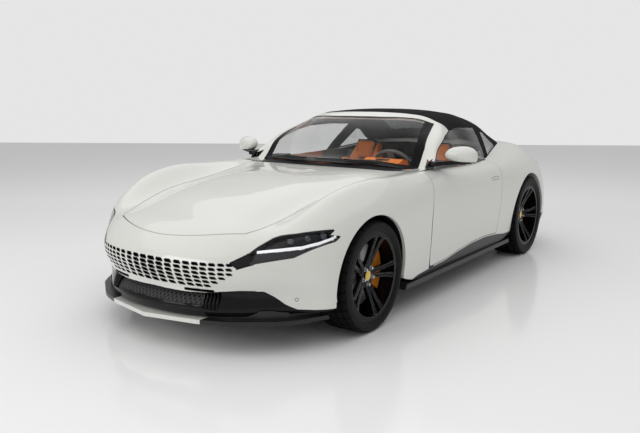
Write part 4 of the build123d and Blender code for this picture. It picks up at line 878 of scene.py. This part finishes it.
def puffed(name, mesh, cap):
    """The mesh remeshed, swollen as cloth under pressure with its movement capped."""
    piece = as_object(name, mesh)
    grid = piece.modifiers.new("grid", "REMESH")
    grid.mode = "VOXEL"
    grid.voxel_size = PAD_VOXEL
    shape = applied(piece)
    still = [vert.co.copy() for vert in shape.vertices]
    blown = piece.modifiers.new("blown", "CLOTH")
    cloth = blown.settings
    cloth.quality = 4
    cloth.use_pressure = True
    cloth.uniform_pressure_force = PAD_PRESSURE
    cloth.effector_weights.gravity = 0.0
    blown.point_cache.frame_start, blown.point_cache.frame_end = 1, PAD_FRAMES
    for moment in range(1, PAD_FRAMES + 1):
        scene.frame_set(moment)
    shape = applied(piece)
    scene.frame_set(1)
    for vert, before in zip(shape.vertices, still):
        move = vert.co - before
        if move.length > cap:
            vert.co = before + move * (cap / move.length)
    made = bmesh.new()
    made.from_mesh(shape)
    bpy.data.objects.remove(piece)
    return made


def channels(mesh, seams, axis):
    """Draws a padded mesh in along straight sewn lines across it."""
    mesh.normal_update()
    shift = {}
    for vert in mesh.verts:
        near = min(abs(getattr(vert.co, axis) - seam) for seam in seams)
        if near < SEAM_HALF:
            shift[vert] = -vert.normal * SEAM_DEPTH * (1 - (near / SEAM_HALF) ** 2)
    for vert, by in shift.items():
        vert.co += by


def padded_pair(name, out, owner, cap, shape, place, seams=(), axis="z"):
    """A tan pad for each side, out from the middle, that stands for part of a CAD node."""
    pad = puffed(name, block(*shape), cap)
    if seams:
        channels(pad, seams, axis)
    bmesh.ops.subdivide_edges(pad, edges=pad.edges[:], cuts=1, use_grid_fill=True, smooth=1.0)
    moved(pad, place)
    for side, way in SIDES:
        twin = moved(pad.copy(), Matrix.Translation((way * out, 0, 0)))
        node = owner.format(side)
        settle(name + "_" + side, twin, tan_leather, node, True, angle=60)
    pad.free()


def at(s, z, tilt=0.0, x=0.0):
    """A place at a station and a height, tilted about the x axis."""
    return Matrix.Translation((x, FRONT_AXLE_Y + s, z)) @ Matrix.Rotation(tilt, 4, "X")


black_leather = grained(material("black_leather", (0.015, 0.014, 0.013), 0.45),
                        1100, 0.35, 0.0006, ((0.011, 0.011, 0.01), (0.02, 0.018, 0.017)), rough=(0.4, 0.52))
SEAT_TILT, BACK_TILT, HEAD_TILT, SEAT_X = radians(7), radians(-22), radians(-16), 0.375
THIGH_PAD, BOLSTER = ((0.085, 0.48, 0.14), 0.035), ((0.085, 0.125, 0.50), 0.035)
SEAT_PADS = {
    # name: (size, rounding, foot taper), place, sewn lines and their axis.
    "cushion": (((0.29, 0.47, 0.10), 0.03), at(1.645, 0.370, SEAT_TILT),
                [-0.12, -0.04, 0.04, 0.12], "y"),
    "thigh_bolster_near": (THIGH_PAD, at(1.640, 0.365, SEAT_TILT, 0.192)),
    "thigh_bolster_far": (THIGH_PAD, at(1.640, 0.365, SEAT_TILT, -0.192)),
    "backrest": (((0.27, 0.085, 0.50), 0.03, 1.05), at(1.925, 0.610, BACK_TILT),
                 [-0.16, -0.08, 0.0, 0.08, 0.16]),
    "back_bolster_near": (BOLSTER, at(1.930, 0.600, BACK_TILT, 0.188)),
    "back_bolster_far": (BOLSTER, at(1.930, 0.600, BACK_TILT, -0.188)),
    "shoulder_pad": (((0.25, 0.050, 0.23), 0.024, 1.75), at(2.078, 0.892, BACK_TILT)),
    "headrest": (((0.175, 0.045, 0.165), 0.02, 0.88), at(2.040, 0.925, HEAD_TILT)),
}
for label, pad in SEAT_PADS.items():
    padded_pair("seat_" + label, SEAT_X, "seat_{}", PAD_CAP, *pad)
SEAT_FRAME = {
    # name: (size, rounding, foot taper), place and material.
    "seat_shell": (((0.46, 0.035, 0.60), 0.016), at(1.993, 0.628, BACK_TILT), black_leather),
    "headrest_back": (((0.205, 0.040, 0.195), 0.016, 0.88), at(2.053, 0.921, HEAD_TILT),
                      black_leather),
    "seat_base": (((0.40, 0.40, 0.095), 0.012), at(1.640, 0.2825), black_plastic),
    "seat_pan": (((0.47, 0.48, 0.04), 0.015), at(1.640, 0.305, SEAT_TILT), black_plastic),
}
for side, way in SIDES:
    for name, (shape, place, made) in SEAT_FRAME.items():
        part = moved(block(*shape), Matrix.Translation((way * SEAT_X, 0, 0)) @ place)
        settle(name + "_" + side, part, made, "seat_" + side, True)

# Rear bench: two small padded places side by side against a padded back, sewn like the front seats, on
# a black frame and foot.
BENCH_X, BENCH_CAP = 0.285, 0.018
BENCH_PADS = {
    "cushion": (((0.50, 0.20, 0.10), 0.022), at(2.255, 0.410), [-0.06, 0.06], "x"),
    "back": (((0.50, 0.055, 0.36), 0.022), at(2.335, 0.660, radians(-5)), [-0.1, 0.0, 0.1]),
}
for label, pad in BENCH_PADS.items():
    padded_pair("bench_" + label, BENCH_X, "rear_bench", BENCH_CAP, *pad)
BENCH_FRAME = {
    "bench_back_frame": (((1.15, 0.055, 0.38), 0.01), at(2.385, 0.660)),
    "bench_foot": (((1.15, 0.24, 0.03), 0.008), at(2.285, 0.350)),
}
for name, (shape, place) in BENCH_FRAME.items():
    settle(name, moved(block(*shape), place), black_leather, "rear_bench", True)

# Dashboard, console and steering wheel: tan leather over the dash's top and hood, black below, with
# dark glass displays set into it, and a rim wound in dark leather.
display_glass = grained(material("display_glass", (0.004, 0.004, 0.005), 0.06, Coat_Weight=1.0),
                        500, 0.01, 0.0001, ((0.003, 0.003, 0.004), (0.006, 0.006, 0.008)))
DASH_SHOULDER, DASH_START_Y, DASH_HALF = 0.83, FRONT_AXLE_Y + 0.85, 0.7
HOOD_FOOT, HOOD_INNER, HOOD_OUTER = 0.81, 0.2, 0.55


def dash_finish(centre, normal):
    """Tan on the dash's upper faces and on the hood's sides over the instruments."""
    on_top = (normal.z > 0.3 and centre.z > DASH_SHOULDER and centre.y > DASH_START_Y
              and abs(centre.x) < DASH_HALF)
    on_hood = centre.z > HOOD_FOOT and HOOD_INNER < centre.x < HOOD_OUTER and -0.5 < normal.y < 0.3
    return 1 if on_top or on_hood else 0


dressed("dashboard", (black_leather, tan_leather), dash_finish)
finish("console", black_leather)
wheel_leather = grained(material("wheel_rim_leather", (0.05, 0.05, 0.052), 0.4),
                        1500, 0.3, 0.0004, ((0.04, 0.04, 0.042), (0.065, 0.065, 0.068)), rough=(0.3, 0.45))
finish("steering_wheel", wheel_leather)
DISPLAYS = {
    "instrument_display": (((0.27, 0.004, 0.07), 0.0015), at(1.153, 0.890, radians(-4), SEAT_X)),
    "hood_vent": (((0.11, 0.035, 0.004), 0.0015), at(1.045, 0.9365, radians(15), SEAT_X)),
    "centre_display": (((0.19, 0.006, 0.15), 0.002), at(1.128, 0.700, radians(-20))),
}
for name, (shape, place) in DISPLAYS.items():
    settle(name, moved(block(*shape), place), display_glass, "dashboard")

# Door cards: a padded black leather armrest screwed to each door's tan inner face, and a bent plated
# bar over it to pull the door shut.
ARMREST, PULL = (0.790, 1.400, 0.600), (0.775, 1.290, 0.655)
PULL_OUT, PULL_DROP, PULL_RADIUS = 0.036, -0.045, 0.007
for side, way in SIDES:
    x, s, z = ARMREST
    armrest = moved(block((0.060, 0.520, 0.055), 0.018), at(s, z, 0.0, way * x))
    settle("door_armrest_" + side, armrest, black_leather, "door_" + side)
    x, s, z = PULL
    grip = [(way * (x + out), FRONT_AXLE_Y + s + ahead, z + up) for out, ahead, up in (
        (PULL_OUT, -0.085, PULL_DROP), (0, -0.070, 0), (0, 0.070, 0), (PULL_OUT, 0.085, PULL_DROP))]
    tube("door_pull_" + side, grip, PULL_RADIUS, plated, "door_" + side)

# Studio: a polished pale floor, painted a little darker near the car as shade, that stops at a plain pale
# wall. Two softboxes light it, one over the whole car and one low in front.
CAMERA_PLACE = Vector((2.965, -4.832, 1.3905))
CAMERA_AZIMUTH, CAMERA_DIP, CAMERA_ROLL = radians(34.987), radians(9.720), radians(0.271)
AWAY = Vector((-sin(CAMERA_AZIMUTH), cos(CAMERA_AZIMUTH), 0))
ACROSS = Vector((cos(CAMERA_AZIMUTH), sin(CAMERA_AZIMUTH), 0))
FLOOR_NEAR, FLOOR_SHADE, FLOOR_END, FLOOR_HALF = -3.0, (8.2, 9.4), 21.4, 30.0
floor_finish = material("studio_floor", (0.88, 0.88, 0.88), 0.14, specular=0.35)
tree, shader = inside_of(floor_finish)
far = in_place(tree, "VectorMath", operation="DOT_PRODUCT")
far.inputs[1].default_value = AWAY
start, stop = (CAMERA_PLACE.dot(AWAY) + shade for shade in FLOOR_SHADE)
band = add(tree, "MapRange", interpolation_type="SMOOTHSTEP", **{"From Min": start, "From Max": stop})
# Painted shade: the floor's colour is darker from the camera to a band a few metres past the car.
tone = ramp(tree, 0.93, 0.97)
wire(tree, (far, "Value", band, "Value"), (band, "Result", tone, "Fac"),
     (tone, "Color", shader, "Base Color"))
foot = Vector((CAMERA_PLACE.x, CAMERA_PLACE.y, 0))
floor_mesh = bpy.data.meshes.new("studio_floor_plane")
floor_mesh.from_pydata([foot + AWAY * ahead + ACROSS * aside for ahead, aside in (
    (FLOOR_NEAR, -FLOOR_HALF), (FLOOR_NEAR, FLOOR_HALF), (FLOOR_END, FLOOR_HALF), (FLOOR_END, -FLOOR_HALF))],
    [], [(0, 1, 2, 3)])
floor_mesh.materials.append(floor_finish)
linked(bpy.data.objects.new("studio_floor_plane", floor_mesh))
world = bpy.data.worlds.new("studio")
scene.world = world
world.use_nodes = True
tree = world.node_tree
sky = tree.nodes["Background"]
sky.inputs["Color"].default_value = (1, 1, 1, 1)
sky.inputs["Strength"].default_value = 0.5
wall = add(tree, "Background", Color=(0.787, 0.787, 0.787, 1), Strength=1.0)
path = add(tree, "LightPath")
choice = add(tree, "MixShader")
wire(tree, (path, "Is Camera Ray", choice, 0), (sky, 0, choice, 1), (wall, 0, choice, 2),
     (choice, 0, tree.nodes["World Output"], "Surface"))
SOFTBOXES = {
    # name: place, target, size and power.
    "ceiling_softbox": ((0, 0, 5.5), (0, 0, 0), (13, 15), 360),
    "front_softbox": ((-2.5, -9.0, 3.2), (0, -2, 0.3), (5, 3), 160),
}
for name, (place, target, size, power) in SOFTBOXES.items():
    light = bpy.data.lights.new(name, "AREA")
    light.shape = "RECTANGLE"
    light.size, light.size_y = size
    light.energy = power
    lamp = linked(bpy.data.objects.new(name, light))
    lamp.location = place
    lamp.rotation_mode = "QUATERNION"
    lamp.rotation_quaternion = (Vector(target) - Vector(place)).to_track_quat("-Z", "Y")

# Camera: at the driver's front corner, a little above the mirrors, looking slightly down. Its place and
# lens are those that the photograph's perspective gives.
back = Vector((sin(CAMERA_AZIMUTH) * cos(CAMERA_DIP), -cos(CAMERA_AZIMUTH) * cos(CAMERA_DIP),
               sin(CAMERA_DIP)))
up = back.cross(ACROSS)
right = ACROSS * cos(CAMERA_ROLL) + up * sin(CAMERA_ROLL)
top = up * cos(CAMERA_ROLL) - ACROSS * sin(CAMERA_ROLL)
camera_data = bpy.data.cameras.new("front_corner")
camera_data.sensor_fit = "HORIZONTAL"
camera_data.sensor_width = 36
camera_data.lens = 38.80
camera_data.clip_end = 200
camera = linked(bpy.data.objects.new("front_corner", camera_data))
camera.matrix_world = Matrix.Translation(CAMERA_PLACE) @ Matrix((right, top, back)).transposed().to_4x4()
scene.camera = camera
scene.view_settings.view_transform = "Standard"
